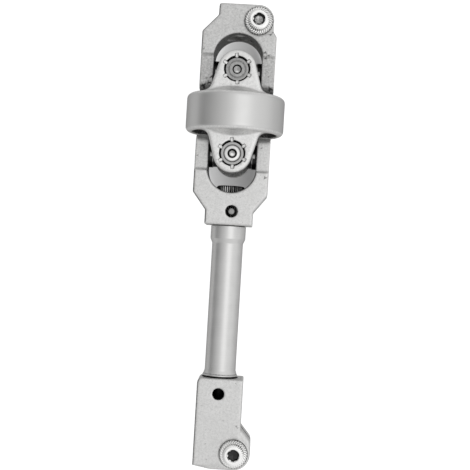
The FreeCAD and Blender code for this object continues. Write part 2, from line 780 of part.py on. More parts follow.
def main():
    os.makedirs("parts", exist_ok=True)
    pieces = pieces_in_line()
    placement = rest_placement(pieces)
    for name, shape in pieces.items():
        shape.Placement = placement.multiply(shape.Placement)
        shape.exportStep(os.path.join("parts", name + ".step"))
    print("tilt", round(rest_tilt(), 4), "placement", placement.Base)


main()
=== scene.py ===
"""Intermediate steering shaft: its finished surfaces, materials, stage and camera.

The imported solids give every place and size. The forged and machined bodies are the solids themselves, softened to
the rounded edges of blasted steel. The turned and toothed pieces are surfaces of two parameters.
"""
import json
import math

import bmesh
import bpy
import numpy as np
from mathutils import Matrix, Quaternion, Vector

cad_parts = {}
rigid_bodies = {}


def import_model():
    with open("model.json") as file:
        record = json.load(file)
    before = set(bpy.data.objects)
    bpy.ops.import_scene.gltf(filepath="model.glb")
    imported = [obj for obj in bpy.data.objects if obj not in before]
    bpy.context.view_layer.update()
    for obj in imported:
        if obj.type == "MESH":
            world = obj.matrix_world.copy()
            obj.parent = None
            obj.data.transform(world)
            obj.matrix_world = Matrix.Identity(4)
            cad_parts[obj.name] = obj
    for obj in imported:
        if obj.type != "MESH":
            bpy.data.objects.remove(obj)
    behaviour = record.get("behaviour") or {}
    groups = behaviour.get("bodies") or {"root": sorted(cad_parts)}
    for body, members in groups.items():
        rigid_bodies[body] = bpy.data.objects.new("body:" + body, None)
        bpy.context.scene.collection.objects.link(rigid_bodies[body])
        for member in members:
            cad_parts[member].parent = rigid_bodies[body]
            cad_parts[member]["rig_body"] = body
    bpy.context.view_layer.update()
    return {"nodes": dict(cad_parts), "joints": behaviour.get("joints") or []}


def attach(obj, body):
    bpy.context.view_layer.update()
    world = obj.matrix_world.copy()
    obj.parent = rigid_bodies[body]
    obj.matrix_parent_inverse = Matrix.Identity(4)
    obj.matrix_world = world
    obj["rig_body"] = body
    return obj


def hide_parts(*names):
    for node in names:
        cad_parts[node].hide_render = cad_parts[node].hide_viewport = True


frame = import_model()

bl_info = {
    "name": "Steering shaft",
    "version": (1, 0, 0),
    "blender": (4, 5, 0),
    "location": "View3D > Sidebar > Steering shaft",
    "description": "Finished surfaces, materials and stage of an intermediate steering shaft",
    "category": "Object",
}

MM = 0.001
JOINTS = {joint["name"]: joint for joint in frame["joints"]}
SIDEWAYS = np.array(JOINTS["lower_yoke_hinge"]["axis"], float)
UPRIGHT = np.array(JOINTS["lower_ring_hinge"]["axis"], float)
LENGTHWISE = np.cross(UPRIGHT, SIDEWAYS)
LOWER_CENTRE = np.array(JOINTS["lower_yoke_hinge"]["pos_m"], float)
UPPER_CENTRE = np.array(JOINTS["upper_yoke_hinge"]["pos_m"], float)
RING_CENTRE = (LOWER_CENTRE + UPPER_CENTRE) / 2

BEARING_SIDES = {"front": UPRIGHT, "back": -UPRIGHT, "left": -SIDEWAYS, "right": SIDEWAYS}
CROSSES = {"upper": UPPER_CENTRE, "lower": LOWER_CENTRE}

# Sizes of single features in millimetres: thicknesses, lengths, depths, and radii of round ones
CUP_WALL = 1.0
FRONT_FACE = 13.2  # over the shaft's axis
FORK_ARM = 8.1
FORK_ARM_LENGTH = 9.0  # from the cross to the arm's step
ARCH_LENGTH = 23.6  # from the cross to past the arch
RING_WALL = 4.3
RING_HALF = 11.2
EAR_START = 12.0  # from the ring's middle along the shaft
EAR_INSIDE = 12.0  # from the shaft's axis outwards
SLIT_HALF = 1.7
CLAMP_BORE = 7.0
BORE_TOOTH = 0.4
PIN_HOLE = 3.65
DRILLED_HOLE = 3.5
DRILLED_PLACE = 9.2  # below the lower clamp's top
TUBE_BORE = 6.55
TUBE_RADIUS = 9.5
FLARE_RADIUS = 10.3
LIP_RADIUS = 10.65
NECK_RADIUS = 9.7
SPIGOT_RADIUS = 8.2
STUB_TOOTH = 0.55
STUB_TAIL = 6.5
SHANK_RADIUS = 4.0
THREAD_DEPTH = 0.6
SOCKET_RADIUS = 3.0
SOCKET_DEPTH = 3.2
HEAD_CONE = 1.4
KNURL_DEPTH = 0.2
WASHER_HOLE = 4.2
WASHER_FLAT = 6.2
WASHER_NOTCH = 0.45

# The paper's painted shadow, a soft oval, in metres: its half axes and how far its middle lies above the ring's
SHADOW_HALF_WIDTH = 0.025
SHADOW_HALF_LENGTH = 0.070
SHADOW_SHIFT = 0.004
PAPER_HALF = 3.0
LAMP_PLACE = (0.30, -0.05, 0.95)
LAMP_SIZE = 0.55


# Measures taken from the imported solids

def point_array(mesh, field="co"):
    """The points of a mesh, or their normals, as an array."""
    values = np.empty(len(mesh.vertices) * 3)
    mesh.vertices.foreach_get(field, values)
    return values.reshape(-1, 3)


def corners_of(node):
    """A solid's corner points, in metres."""
    return point_array(frame["nodes"][node].data)


def along(points, centre, direction):
    """How far points in metres lie from a centre along a direction, in millimetres."""
    return (points - centre) @ direction / MM


def reach(node, centre, direction):
    """The nearest and the farthest distance of a solid from a centre along a direction, in millimetres."""
    distance = along(corners_of(node), centre, direction)
    return distance.min(), distance.max()


def polar(points, centre, axis):
    """Distance from an axis and angle about it, and height along it, of points in metres, in mm and radians."""
    first, second = across(axis)
    offset = (points - centre) / MM
    return np.hypot(offset @ first, offset @ second), np.arctan2(offset @ second, offset @ first), offset @ axis


def about_shaft(points):
    """Distance from the shaft's own axis and height along it from the ring's middle, in millimetres."""
    distance, _, run = polar(points, RING_CENTRE, LENGTHWISE)
    return distance, run


def girth(node, centre, direction):
    """The largest distance of a solid from the line through a centre along a direction, in millimetres."""
    return polar(corners_of(node), centre, direction)[0].max()


def measured(node, centre, axis):
    """The two ends of a solid along an axis from a centre, and its girth about the axis, in millimetres."""
    return *reach(node, centre, axis), girth(node, centre, axis)


def middle(node):
    """The middle of a solid's box in the shaft's own directions, in metres."""
    place = RING_CENTRE.copy()
    for direction in (SIDEWAYS, LENGTHWISE, UPRIGHT):
        place = place + direction * sum(reach(node, RING_CENTRE, direction)) / 2 * MM
    return place


def body_of(node):
    """The name of the body that a node moves with."""
    return frame["nodes"][node]["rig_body"]


# Surfaces of two parameters

def arc_corner(before, corner, after, steps):
    """The arc that rounds a corner: points turned evenly from one tangent point to the other about its middle."""
    point = corner[:2]
    to_before = (before[:2] - point) / np.linalg.norm(before[:2] - point)
    to_after = (after[:2] - point) / np.linalg.norm(after[:2] - point)
    half = math.acos(np.clip(to_before @ to_after, -1, 1)) / 2
    bisector = (to_before + to_after) / np.linalg.norm(to_before + to_after)
    centre = point + bisector * corner[2] / math.sin(half)
    first = point + to_before * corner[2] / math.tan(half) - centre
    last = point + to_after * corner[2] / math.tan(half) - centre
    sweep = math.pi - 2 * half
    t = np.linspace(0, 1, steps + 1)[:, None]
    return centre + (np.sin((1 - t) * sweep) * first + np.sin(t * sweep) * last) / math.sin(sweep)


def rounded(outline, steps=6):
    """An outline of (radius, height, corner radius) points with an arc at each corner that has a radius."""
    corners = [np.array((*point, 0.0)[:3]) for point in outline]
    parts = []
    for i, corner in enumerate(corners):
        if corner[2]:
            parts.append(arc_corner(corners[i - 1], corner, corners[(i + 1) % len(corners)], steps))
        else:
            parts.append(corner[None, :2])
    return np.concatenate(parts)


def evened(profile, step):
    """A profile with extra points on its long runs, so that no two neighbours lie farther apart than a step."""
    parts = []
    for start, end in zip(profile[:-1], profile[1:]):
        count = max(1, math.ceil(np.linalg.norm(end - start) / step))
        parts.append(start + (end - start) * np.arange(count)[:, None] / count)
    return np.concatenate([*parts, profile[-1:]])


def turned_grid(profile, segments):
    """Radius, angle and height grids: the profile's point i at each of the evenly spaced angles k."""
    angle = np.linspace(0, 2 * math.pi, segments, endpoint=False)
    radius = np.repeat(profile[:, :1], segments, axis=1)
    height = np.repeat(profile[:, 1:2], segments, axis=1)
    return radius, np.tile(angle, (len(profile), 1)), height


def across(axis):
    """Two directions square to an axis and to each other, right-handed with it."""
    first = LENGTHWISE if abs(axis @ LENGTHWISE) < 0.5 else UPRIGHT
    second = np.cross(axis, first)
    return first, second


def stand(radius, angle, height, centre, axis):
    """Points centre + axis * height + (first * cos(angle) + second * sin(angle)) * radius, in metres."""
    first, second = across(axis)
    round_about = np.cos(angle)[..., None] * first + np.sin(angle)[..., None] * second
    return centre + (radius[..., None] * round_about + height[..., None] * axis) * MM


def grid_mesh(name, grids, centre, axis, loop=False, capped=False):
    """A mesh of quads between neighbouring rings of radius, angle and height grids, which close on themselves.

    A loop joins the last ring to the first. Caps close the two end rings with a face each. The run along the
    profile, in millimetres, is stored at each point for the turned lines.
    """
    points = stand(*grids, centre, axis)
    rows, columns = points.shape[:2]
    index = np.arange(rows * columns).reshape(rows, columns)
    beside = np.roll(index, -1, axis=1)
    following = np.roll(index, -1, axis=0)
    following_beside = np.roll(beside, -1, axis=0)
    quads = np.stack([index, beside, following_beside, following], axis=-1)
    quads = quads if loop else quads[:-1]
    faces = quads.reshape(-1, 4).tolist()
    if capped:
        faces += [index[0, ::-1].tolist(), index[-1].tolist()]
    mesh = bpy.data.meshes.new(name)
    mesh.from_pydata(points.reshape(-1, 3), [], faces)
    step = np.linalg.norm(np.diff(points[:, 0], axis=0), axis=1) / MM
    store(mesh, "turning", np.repeat(np.concatenate([[0.0], np.cumsum(step)]), columns))
    return mesh


def store(mesh, name, values):
    """Stores a value at each point of a mesh."""
    mesh.attributes.new(name, "FLOAT", "POINT").data.foreach_set("value", values.astype(np.float32))


def mark(mesh, name, values):
    """Stores a share between 0 and 1 at each point of a mesh."""
    store(mesh, name, np.clip(values, 0, 1))


def closed_mesh(mesh, sharp=40.0):
    """Merges doubles, also the points of a pole, turns the faces outwards and smooths all but the sharp edges."""
    work = bmesh.new()
    work.from_mesh(mesh)
    bmesh.ops.remove_doubles(work, verts=work.verts, dist=1e-7)
    bmesh.ops.recalc_face_normals(work, faces=work.faces)
    work.to_mesh(mesh)
    work.free()
    mesh.shade_smooth()
    mesh.set_sharp_from_angle(angle=math.radians(sharp))
    return mesh


def linked(name, data):
    """A new object in the scene."""
    thing = bpy.data.objects.new(name, data)
    bpy.context.scene.collection.objects.link(thing)
    return thing


def new_piece(name, mesh, finish, body, *nodes):
    """Links a finished mesh as a piece with its finish, which rides on a body and stands for the given solids."""
    piece = linked(name, mesh)
    mesh.materials.clear()
    mesh.materials.append(finish_of(finish))
    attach(piece, body)
    if nodes:
        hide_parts(*nodes)


def turned_mesh(node, profile, centre, axis, segments, step=0.5, loop=False):
    """A solid of revolution: the profile carried round an axis."""
    grids = turned_grid(evened(profile, step), segments)
    return closed_mesh(grid_mesh(node + "_surface", grids, centre, axis, loop))


def surface_piece(node, mesh, finish):
    """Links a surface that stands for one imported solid."""
    new_piece(node + "_surface", mesh, finish, body_of(node), node)


def saw(turns):
    """A pointed wave between 0 and 1 that repeats with every whole number."""
    return 1 - np.abs(2 * (turns - np.floor(turns)) - 1)


# Shares between 0 and 1 that ease over a soft width

def above(values, limit, soft=0.3):
    """1 where a value lies over a limit and 0 under it."""
    return np.clip((values - limit) / soft + 0.5, 0, 1)


def below(values, limit, soft=0.3):
    """1 where a value lies under a limit and 0 over it."""
    return np.clip((limit - values) / soft + 0.5, 0, 1)


def band(values, low, high, soft=0.3):
    """1 where a value lies between two limits and 0 outside."""
    return above(values, low, soft) * below(values, high, soft)


# Softened copies of the forged and machined solids

def mark_edges(mesh):
    """Stores how convex the surface is at each point.

    It is the mean, over the point's neighbours, of how far the point stands above the neighbour along its own
    normal, divided by their distance.
    """
    points = point_array(mesh)
    normals = point_array(mesh, "normal")
    pairs = np.empty(len(mesh.edges) * 2, np.int32)
    mesh.edges.foreach_get("vertices", pairs)
    a, b = pairs.reshape(-1, 2).T
    step = points[a] - points[b]
    length = np.linalg.norm(step, axis=1) + 1e-12
    total = np.zeros(len(points))
    count = np.zeros(len(points))
    np.add.at(total, a, np.einsum("ij,ij->i", normals[a], step) / length)
    np.add.at(total, b, -np.einsum("ij,ij->i", normals[b], step) / length)
    np.add.at(count, a, 1)
    np.add.at(count, b, 1)
    store(mesh, "edge", total / np.maximum(count, 1))


def softened(node, voxel, passes):
    """A copy of a solid on an even grid, lined up with the shaft, whose edges are smoothed round."""
    mesh = frame["nodes"][node].data.copy()
    mesh.name = node + "_forged"
    turn = Matrix([list(SIDEWAYS), list(LENGTHWISE), list(UPRIGHT)]).to_4x4()
    level = turn @ Matrix.Translation(-Vector(RING_CENTRE))
    mesh.transform(level)
    work = bmesh.new()
    work.from_mesh(mesh)
    bmesh.ops.remove_doubles(work, verts=work.verts, dist=1e-6)
    work.to_mesh(mesh)
    work.free()
    draft = linked(node + "_draft", mesh)
    even = draft.modifiers.new("Even grid", "REMESH")
    even.mode = "VOXEL"
    even.voxel_size = voxel * MM
    even.use_smooth_shade = True
    soft = draft.modifiers.new("Softened edges", "SMOOTH")
    soft.factor = 0.5
    soft.iterations = passes
    finished = bpy.data.meshes.new_from_object(draft.evaluated_get(bpy.context.evaluated_depsgraph_get()))
    bpy.data.objects.remove(draft)
    mark_edges(finished)
    finished.transform(level.inverted())
    return finished


def stake_turn(node, centre, axis, cup_radius, cup_end):
    """The angle of the stakes round a cup, from the corners of the tongues that reach over its rim.

    The six stakes are evenly spaced, so it is a sixth of the direction of the sum of exp(6 i angle).
    """
    radius, angle, height = polar(corners_of(node), centre, axis)
    tongue = (radius < cup_radius - 0.3) & (height > cup_end) & (height < cup_end + 3.0)
    return np.angle(np.exp(6j * angle[tongue]).sum()) / 6


def staking_shade(points, node, level, sides):
    """Painted shade round cups: in the gap at each rim and along the outlines of its six staked dents."""
    centre = CROSSES[level]
    amounts = []
    for side in sides:
        cup, axis = level + "_" + side + "_cup", BEARING_SIDES[side]
        _, cup_end, cup_radius = measured(cup, centre, axis)
        radius, angle, height = polar(points, centre, axis)
        turn = stake_turn(node, centre, axis, cup_radius, cup_end)
        aside = np.abs(radius * np.sin((np.mod(6 * (angle - turn) + math.pi, 2 * math.pi) - math.pi) / 6))
        dent_sides = band(aside, 0.75, 1.2) * band(radius, cup_radius - 1.2, cup_radius + 1.9)
        dent_tip = band(radius, cup_radius + 1.5, cup_radius + 2.0) * below(aside, 1.1)
        gap = below(radius, cup_radius + 0.35) * above(aside, 0.8)
        shade_round_cup = np.max([0.72 * dent_sides, 0.62 * dent_tip, gap], axis=0)
        amounts.append(np.where(height > cup_end - 2.5, shade_round_cup, 0.0))
    return np.max(amounts, axis=0)


# Shader nodes

def feed(tree, socket, value):
    """Sets a socket to a number, or links another socket to it."""
    if isinstance(value, (int, float)):
        socket.default_value = value
    else:
        tree.links.new(value, socket)


def node_in(tree, kind, given=(), **settings):
    """A new node with its properties set by name and its inputs fed."""
    node = tree.nodes.new(kind)
    for key, value in settings.items():
        setattr(node, key, value)
    for label, value in dict(given).items():
        feed(tree, node.inputs[label], value)
    return node


def worked(tree, operation, *values, clamp=False):
    """A Math node fed by sockets or numbers, and its output."""
    node = node_in(tree, "ShaderNodeMath", operation=operation, use_clamp=clamp)
    for socket, value in zip(node.inputs, values):
        feed(tree, socket, value)
    return node.outputs[0]


def product(tree, first, second):
    return worked(tree, "MULTIPLY", first, second)


def added(tree, first, second):
    return worked(tree, "ADD", first, second)


def nudged(tree, value, mask, amount):
    """A value with a mask times an amount added."""
    return added(tree, value, product(tree, mask, amount))


def blended(tree, first, second, share):
    """A sum in which the first value has a given share and the second has the rest."""
    return added(tree, product(tree, first, share), product(tree, second, 1 - share))


def centred(tree, value, amount):
    """A value about one half moved to be about nought, times an amount."""
    return product(tree, worked(tree, "SUBTRACT", value, 0.5), amount)


def between(tree, mask, low, high, start=0.0, end=1.0, **settings):
    """A value that runs from low to high as a mask runs from start to end."""
    given = {"Value": mask, "From Min": start, "From Max": end, "To Min": low, "To Max": high}
    return node_in(tree, "ShaderNodeMapRange", given, **settings).outputs["Result"]


def smooth_step(tree, value, low, high):
    """A share that eases from 0 at low to 1 at high."""
    return between(tree, value, 0.0, 1.0, low, high, interpolation_type="SMOOTHSTEP")


def noise(tree, vector, cells, detail=2.0, roughness=0.5):
    """A noise value about one half, from a vector and a number of cells in a metre."""
    given = {"Vector": vector, "Scale": cells, "Detail": detail, "Roughness": roughness}
    return node_in(tree, "ShaderNodeTexNoise", given).outputs["Fac"]


def parted(tree, vector):
    """The three components of a vector."""
    return node_in(tree, "ShaderNodeSeparateXYZ", {"Vector": vector}).outputs


def mixed_colour(tree, mask, first, second):
    """A colour mixed by a mask between two colours or sockets."""
    node = node_in(tree, "ShaderNodeMix", {"Factor": mask}, data_type="RGBA")
    for label, value in (("A", first), ("B", second)):
        socket = [s for s in node.inputs if s.name == label and s.type == "RGBA"][0]
        if isinstance(value, tuple):
            socket.default_value = (*value, 1.0)
        else:
            tree.links.new(value, socket)
    return [s for s in node.outputs if s.type == "RGBA"][0]


# Shared effects

def group_of(name, inputs, outputs):
    """An empty node group with named sockets, the sockets that it is fed through and its output node."""
    group = bpy.data.node_groups.new(name, "ShaderNodeTree")
    for label, kind, value in inputs:
        socket = group.interface.new_socket(label, in_out="INPUT", socket_type="NodeSocket" + kind)
        if value is not None:
            socket.default_value = value
    for label, kind in outputs:
        group.interface.new_socket(label, in_out="OUTPUT", socket_type="NodeSocket" + kind)
    return group, group.nodes.new("NodeGroupInput").outputs, group.nodes.new("NodeGroupOutput").inputs


def build_grain():
    """Blasted grain: fine pits in two sizes, soft clouds of tone and a few dark specks."""
    group, given, result = group_of(
        "Blasted grain", [("Vector", "Vector", None), ("Cells in a metre", "Float", 2300.0)],
        [("Height", "Float"), ("Clouds", "Float"), ("Specks", "Float")])
    vector, cells = given["Vector"], given["Cells in a metre"]
    fine = noise(group, vector, cells, 3.0, 0.6)
    coarse = noise(group, vector, product(group, cells, 0.34))
    feed(group, result["Height"], blended(group, fine, coarse, 0.6))
    feed(group, result["Clouds"], noise(group, vector, 130.0, 4.0, 0.62))
    feed(group, result["Specks"], smooth_step(group, noise(group, vector, 620.0), 0.69, 0.76))
    return group


def build_turned_lines():
    """Turned lines: noise along one coordinate only, in a coarse and a fine pitch."""
    group, given, result = group_of(
        "Turned lines", [("Run in millimetres", "Float", 0.0), ("Lines in a millimetre", "Float", 4.0)],
        [("Lines", "Float")])
    values = []
    for factor in (1.0, 0.27):
        pitch = product(group, given["Lines in a millimetre"], factor)
        place = product(group, given["Run in millimetres"], pitch)
        line = node_in(
            group, "ShaderNodeTexNoise", {"W": place, "Scale": 1.0, "Detail": 1.0}, noise_dimensions="1D")
        values.append(line.outputs["Fac"])
    feed(group, result["Lines"], blended(group, *values, 0.6))
    return group


def build_wear_and_shade():
    """Edge wear where the surface is convex, broken up by noise, and painted shade where it is hollow."""
    group, given, result = group_of(
        "Edge wear and hollow shade", [("Edge", "Float", 0.0), ("Vector", "Vector", None)],
        [("Worn", "Float"), ("Hollow shade", "Float")])
    broken = noise(group, given["Vector"], 420.0, 3.0, 0.6)
    shifted = added(group, given["Edge"], centred(group, broken, 0.16))
    feed(group, result["Worn"], smooth_step(group, shifted, 0.06, 0.26))
    feed(group, result["Hollow shade"], smooth_step(group, product(group, given["Edge"], -1.0), 0.03, 0.22))
    return group


def build_painted_shade():
    """Painted shade and tone: a colour darkened where an amount asks for it, broken up by fine noise."""
    group, given, result = group_of(
        "Painted shade and tone", [("Colour", "Color", (0.5, 0.5, 0.5, 1.0)), ("Amount", "Float", 0.0), ("Vector", "Vector", None)],
        [("Colour", "Color")])
    broken = noise(group, given["Vector"], 900.0, 3.0, 0.6)
    shifted = added(group, given["Amount"], centred(group, broken, 0.5))
    dark = product(group, smooth_step(group, shifted, 0.12, 0.8), 0.97)
    feed(group, result["Colour"], mixed_colour(group, dark, given["Colour"], (0.012, 0.012, 0.012)))
    return group


GROUPS = {}
BUILDERS = {
    "Blasted grain": build_grain,
    "Turned lines": build_turned_lines,
    "Edge wear and hollow shade": build_wear_and_shade,
    "Painted shade and tone": build_painted_shade,
}


def effect(material, name, **values):
    """The outputs of a shared effect that is placed in a material with its own values."""
    if name not in GROUPS:
        GROUPS[name] = BUILDERS[name]()
    given = {label.replace("_", " "): value for label, value in values.items()}
    return node_in(material.node_tree, "ShaderNodeGroup", given, node_tree=GROUPS[name]).outputs


# Finishes

def grey(value):
    """A nearly neutral steel grey of a given linear brightness."""
    return (value, value * 0.998, value * 0.988)


def empty_material(name, metal=True):
    """A material with a Principled BSDF, and the socket for object coordinates.

    Bare steel mirrors less at its grazing edges than a plain metal would, which its edge tint gives.
    """
    material = bpy.data.materials.new(name)
    material.use_nodes = True
    tree = material.node_tree
    shader = tree.nodes["Principled BSDF"].inputs
    if metal:
        shader["Metallic"].default_value = 1.0
        shader["Specular Tint"].default_value = (0.55, 0.55, 0.55, 1.0)
    return material, tree, shader, node_in(tree, "ShaderNodeTexCoord").outputs["Object"]


def stored(tree, name):
    """A value that is stored at the mesh's points."""
    return node_in(tree, "ShaderNodeAttribute", attribute_name=name).outputs["Fac"]


def coloured(material, shader, colour, place):
    """Links a colour to the shader through the painted highlight and the painted shade and tone that the piece's
    points call for.
    """
    tree = material.node_tree
    with_painted_highlight = mixed_colour(tree, stored(tree, "painted_highlight"), colour, grey(0.92))
    painted_shade_and_tone = effect(material, "Painted shade and tone", Colour=with_painted_highlight, Amount=stored(tree, "painted_shade_and_tone"), Vector=place)
    feed(tree, shader["Base Color"], painted_shade_and_tone["Colour"])


def bumped(tree, shader, height, distance, strength):
    """A Bump node between a height and the shader's normal, its distance in millimetres."""
    given = {"Distance": distance * MM, "Strength": strength, "Height": height}
    feed(tree, shader["Normal"], node_in(tree, "ShaderNodeBump", given).outputs["Normal"])


def blasted_steel(name, tone, hollow=0.4, turned_tone=0.0, lines=0.0):
    """Forged steel, blasted to an even fine grain. With lines it also has a turned face, smoother and lined."""
    material, tree, shader, place = empty_material(name)
    grain = effect(material, "Blasted grain", Vector=place)
    wear = effect(material, "Edge wear and hollow shade", Edge=stored(tree, "edge"), Vector=place)
    cloudy = smooth_step(tree, grain["Clouds"], 0.34, 0.66)
    clouded = mixed_colour(tree, cloudy, grey(tone * 0.975), grey(tone * 1.025))
    pitted = mixed_colour(tree, smooth_step(tree, grain["Height"], 0.6, 0.38), clouded, grey(tone * 0.84))
    colour = mixed_colour(tree, grain["Specks"], pitted, grey(tone * 0.62))
    rough = between(tree, grain["Clouds"], 0.44, 0.56)
    height = grain["Height"]
    if lines:
        machined = stored(tree, "machined")
        colour = mixed_colour(tree, machined, colour, grey(turned_tone))
        rough = nudged(tree, rough, machined, -0.14)
        level = node_in(tree, "ShaderNodeMapping", {"Vector": place})
        level.inputs["Rotation"].default_value[0] = -math.atan2(LENGTHWISE[2], LENGTHWISE[1])
        run = product(tree, parted(tree, level.outputs["Vector"])["Y"], 1 / MM)
        turned = effect(material, "Turned lines", Run_in_millimetres=run, Lines_in_a_millimetre=lines)
        given = {"Factor": machined, "A": height, "B": turned["Lines"]}
        height = node_in(tree, "ShaderNodeMix", given, data_type="FLOAT").outputs["Result"]
    # Painted shade in the hollows, then lighter worn edges
    hollow_shaded = mixed_colour(tree, product(tree, wear["Hollow shade"], hollow), colour, grey(tone * 0.45))
    worn = mixed_colour(tree, product(tree, wear["Worn"], 0.5), hollow_shaded, grey(min(tone * 1.3, 0.9)))
    coloured(material, shader, worn, place)
    matt = nudged(tree, rough, stored(tree, "painted_shade_and_tone"), 0.3)
    feed(tree, shader["Roughness"], nudged(tree, matt, wear["Worn"], -0.1))
    bumped(tree, shader, height, 0.05, 0.55)
    return material


def turned_metal(name, tone, roughness, lines, depth=0.03):
    """Turned or ground metal, whose lines follow the profile's own run."""
    material, tree, shader, place = empty_material(name)
    turned = effect(
        material, "Turned lines", Run_in_millimetres=stored(tree, "turning"), Lines_in_a_millimetre=lines)["Lines"]
    grain = effect(material, "Blasted grain", Vector=place, Cells_in_a_metre=2600.0)
    streak = centred(tree, turned, 2.0)
    streaky = worked(tree, "ADD", grain["Clouds"], product(tree, streak, 0.3), clamp=True)
    coloured(material, shader, mixed_colour(tree, streaky, grey(tone * 0.9), grey(min(tone * 1.1, 0.95))), place)
    rough = between(tree, grain["Clouds"], roughness * 0.85, roughness * 1.2)
    feed(tree, shader["Roughness"], nudged(tree, rough, streak, 0.04))
    bumped(tree, shader, blended(tree, turned, grain["Height"], 0.8), depth, 0.5)
    return material


def plain_metal(name, tone, roughness):
    """Dark or bright steel with clouds of tone and a fine grain."""
    material, tree, shader, place = empty_material(name)
    grain = effect(material, "Blasted grain", Vector=place, Cells_in_a_metre=2200.0)
    clouded = mixed_colour(tree, grain["Clouds"], grey(tone * 0.8), grey(min(tone * 1.2, 0.95)))
    coloured(material, shader, clouded, place)
    feed(tree, shader["Roughness"], between(tree, grain["Clouds"], roughness * 0.8, roughness * 1.2))
    bumped(tree, shader, grain["Height"], 0.02, 0.4)
    return material


def rubber(name):
    """Black seal rubber with a dusty, finely pitted skin."""
    material, tree, shader, place = empty_material(name, metal=False)
    grain = effect(material, "Blasted grain", Vector=place, Cells_in_a_metre=3000.0)
    dusty = mixed_colour(tree, grain["Clouds"], (0.012, 0.012, 0.013), (0.03, 0.03, 0.032))
    feed(tree, shader["Base Color"], dusty)
    feed(tree, shader["Roughness"], between(tree, grain["Clouds"], 0.22, 0.4))
    bumped(tree, shader, grain["Height"], 0.03, 0.5)
    return material


def floor_paper(name, tone, glow, mirrored_share=0.38):
    """Paper that takes the shaft's shadow, and glows white to the camera and less so in reflections.

    The glow fades in a soft oval under the joint, which paints a shadow there: where the root of the sum of the
    squares of both distances from its middle, each divided by the oval's half axis, is under 1. Inside, the painted
    shadow is darker on the right than on the left.
    """
    material, tree, shader, place = empty_material(name, metal=False)
    fibres = noise(tree, place, 60.0, 3.0)
    feed(tree, shader["Base Color"], mixed_colour(tree, fibres, (tone * 0.99,) * 3, (tone,) * 3))
    shader["Roughness"].default_value = 0.9
    shader["Specular IOR Level"].default_value = 0.1
    shader["Emission Color"].default_value = (1, 1, 1, 1)
    x, y, _ = parted(tree, place)
    aside = worked(tree, "DIVIDE", x, SHADOW_HALF_WIDTH)
    lengthwise = worked(tree, "SUBTRACT", y, float(RING_CENTRE[1]) + SHADOW_SHIFT)
    lengthwise = worked(tree, "DIVIDE", lengthwise, SHADOW_HALF_LENGTH)
    squares = added(tree, product(tree, aside, aside), product(tree, lengthwise, lengthwise))
    clear = smooth_step(tree, worked(tree, "SQRT", squares), 0.73, 1.0)
    # Painted shadow: inside the oval the glow drops to 0.41 at the left and 0.08 at the right
    inside = between(tree, x, 0.41, 0.08, -0.012, 0.012)
    shown = nudged(tree, inside, clear, worked(tree, "SUBTRACT", 1.0, inside))
    path = node_in(tree, "ShaderNodeLightPath").outputs
    mirrored = worked(tree, "MAXIMUM", path["Is Glossy Ray"], path["Is Transmission Ray"])
    seen = worked(tree, "MAXIMUM", path["Is Camera Ray"], product(tree, mirrored, mirrored_share))
    feed(tree, shader["Emission Strength"], product(tree, product(tree, seen, shown), glow))
    return material


# Settings

class ShaftSizes(bpy.types.PropertyGroup):
    """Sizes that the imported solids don't give, in millimetres."""

    voxel: bpy.props.FloatProperty(
        name="Forging grid", description="Cell of the even grid on the forged bodies, in millimetres",
        default=0.46, min=0.3, max=1.0)
    softness: bpy.props.IntProperty(
        name="Edge softness", description="Smoothing passes that round the forged edges", default=4, min=0, max=20)
    ring_softness: bpy.props.IntProperty(
        name="Ring softness", description="Smoothing passes that round the ring's edges", default=9, min=0, max=20)
    washer_teeth: bpy.props.IntProperty(
        name="Washer teeth", description="Slanted teeth round each washer", default=32, min=8)
    washer_tooth_height: bpy.props.FloatProperty(
        name="Washer tooth height", description="Height of a washer's teeth, in millimetres", default=0.25)
    thread_pitch: bpy.props.FloatProperty(
        name="Thread pitch", description="Pitch of the screws' threads, in millimetres", default=1.25)
    socket_lobe: bpy.props.FloatProperty(
        name="Socket lobe", description="Reach of a socket's lobes past their mean, in millimetres",
        default=0.24)
    stub_teeth: bpy.props.IntProperty(
        name="Stub teeth", description="Serrations round the stub shaft", default=40, min=8)
    bore_teeth: bpy.props.IntProperty(
        name="Bore teeth", description="Serrations round each clamp bore", default=36, min=8)


class ShaftFinish(bpy.types.PropertyGroup):
    """Brightness and roughness of the finishes."""

    blasted_tone: bpy.props.FloatProperty(
        name="Blasted steel", description="Brightness of the blasted forgings", default=0.72, min=0, max=1)
    ring_tone: bpy.props.FloatProperty(
        name="Turned ring", description="Brightness of the ring's turned face", default=0.62, min=0, max=1)
    tube_tone: bpy.props.FloatProperty(
        name="Tube", description="Brightness of the turned tube", default=0.64, min=0, max=1)
    tube_roughness: bpy.props.FloatProperty(
        name="Tube roughness", description="Roughness of the turned tube", default=0.36, min=0, max=1)
    screw_tone: bpy.props.FloatProperty(
        name="Screws", description="Brightness of the plated screws and washers", default=0.93, min=0, max=1)


class ShaftStage(bpy.types.PropertyGroup):
    """Camera, floor and light."""

    camera_place: bpy.props.FloatVectorProperty(
        name="Camera place", description="Camera from the ring's middle, in millimetres", size=3,
        default=(16.0, -141.73, 644.23))
    camera_turn: bpy.props.FloatVectorProperty(
        name="Camera turn", description="Rotation vector of the camera, in degrees", size=3,
        default=(6.024, 0.853, 3.424))
    lens: bpy.props.FloatProperty(
        name="Lens", description="Focal length on a 36 mm sensor", default=81.25, unit="CAMERA")
    key_power: bpy.props.FloatProperty(
        name="Key lamp", description="Power of the soft lamp above", default=0.5, unit="POWER")
    paper_tone: bpy.props.FloatProperty(name="Paper", description="Brightness of the paper", default=0.42)
    paper_glow: bpy.props.FloatProperty(
        name="Paper glow", description="What the paper adds where it is seen", default=0.86)


MATERIALS = {}


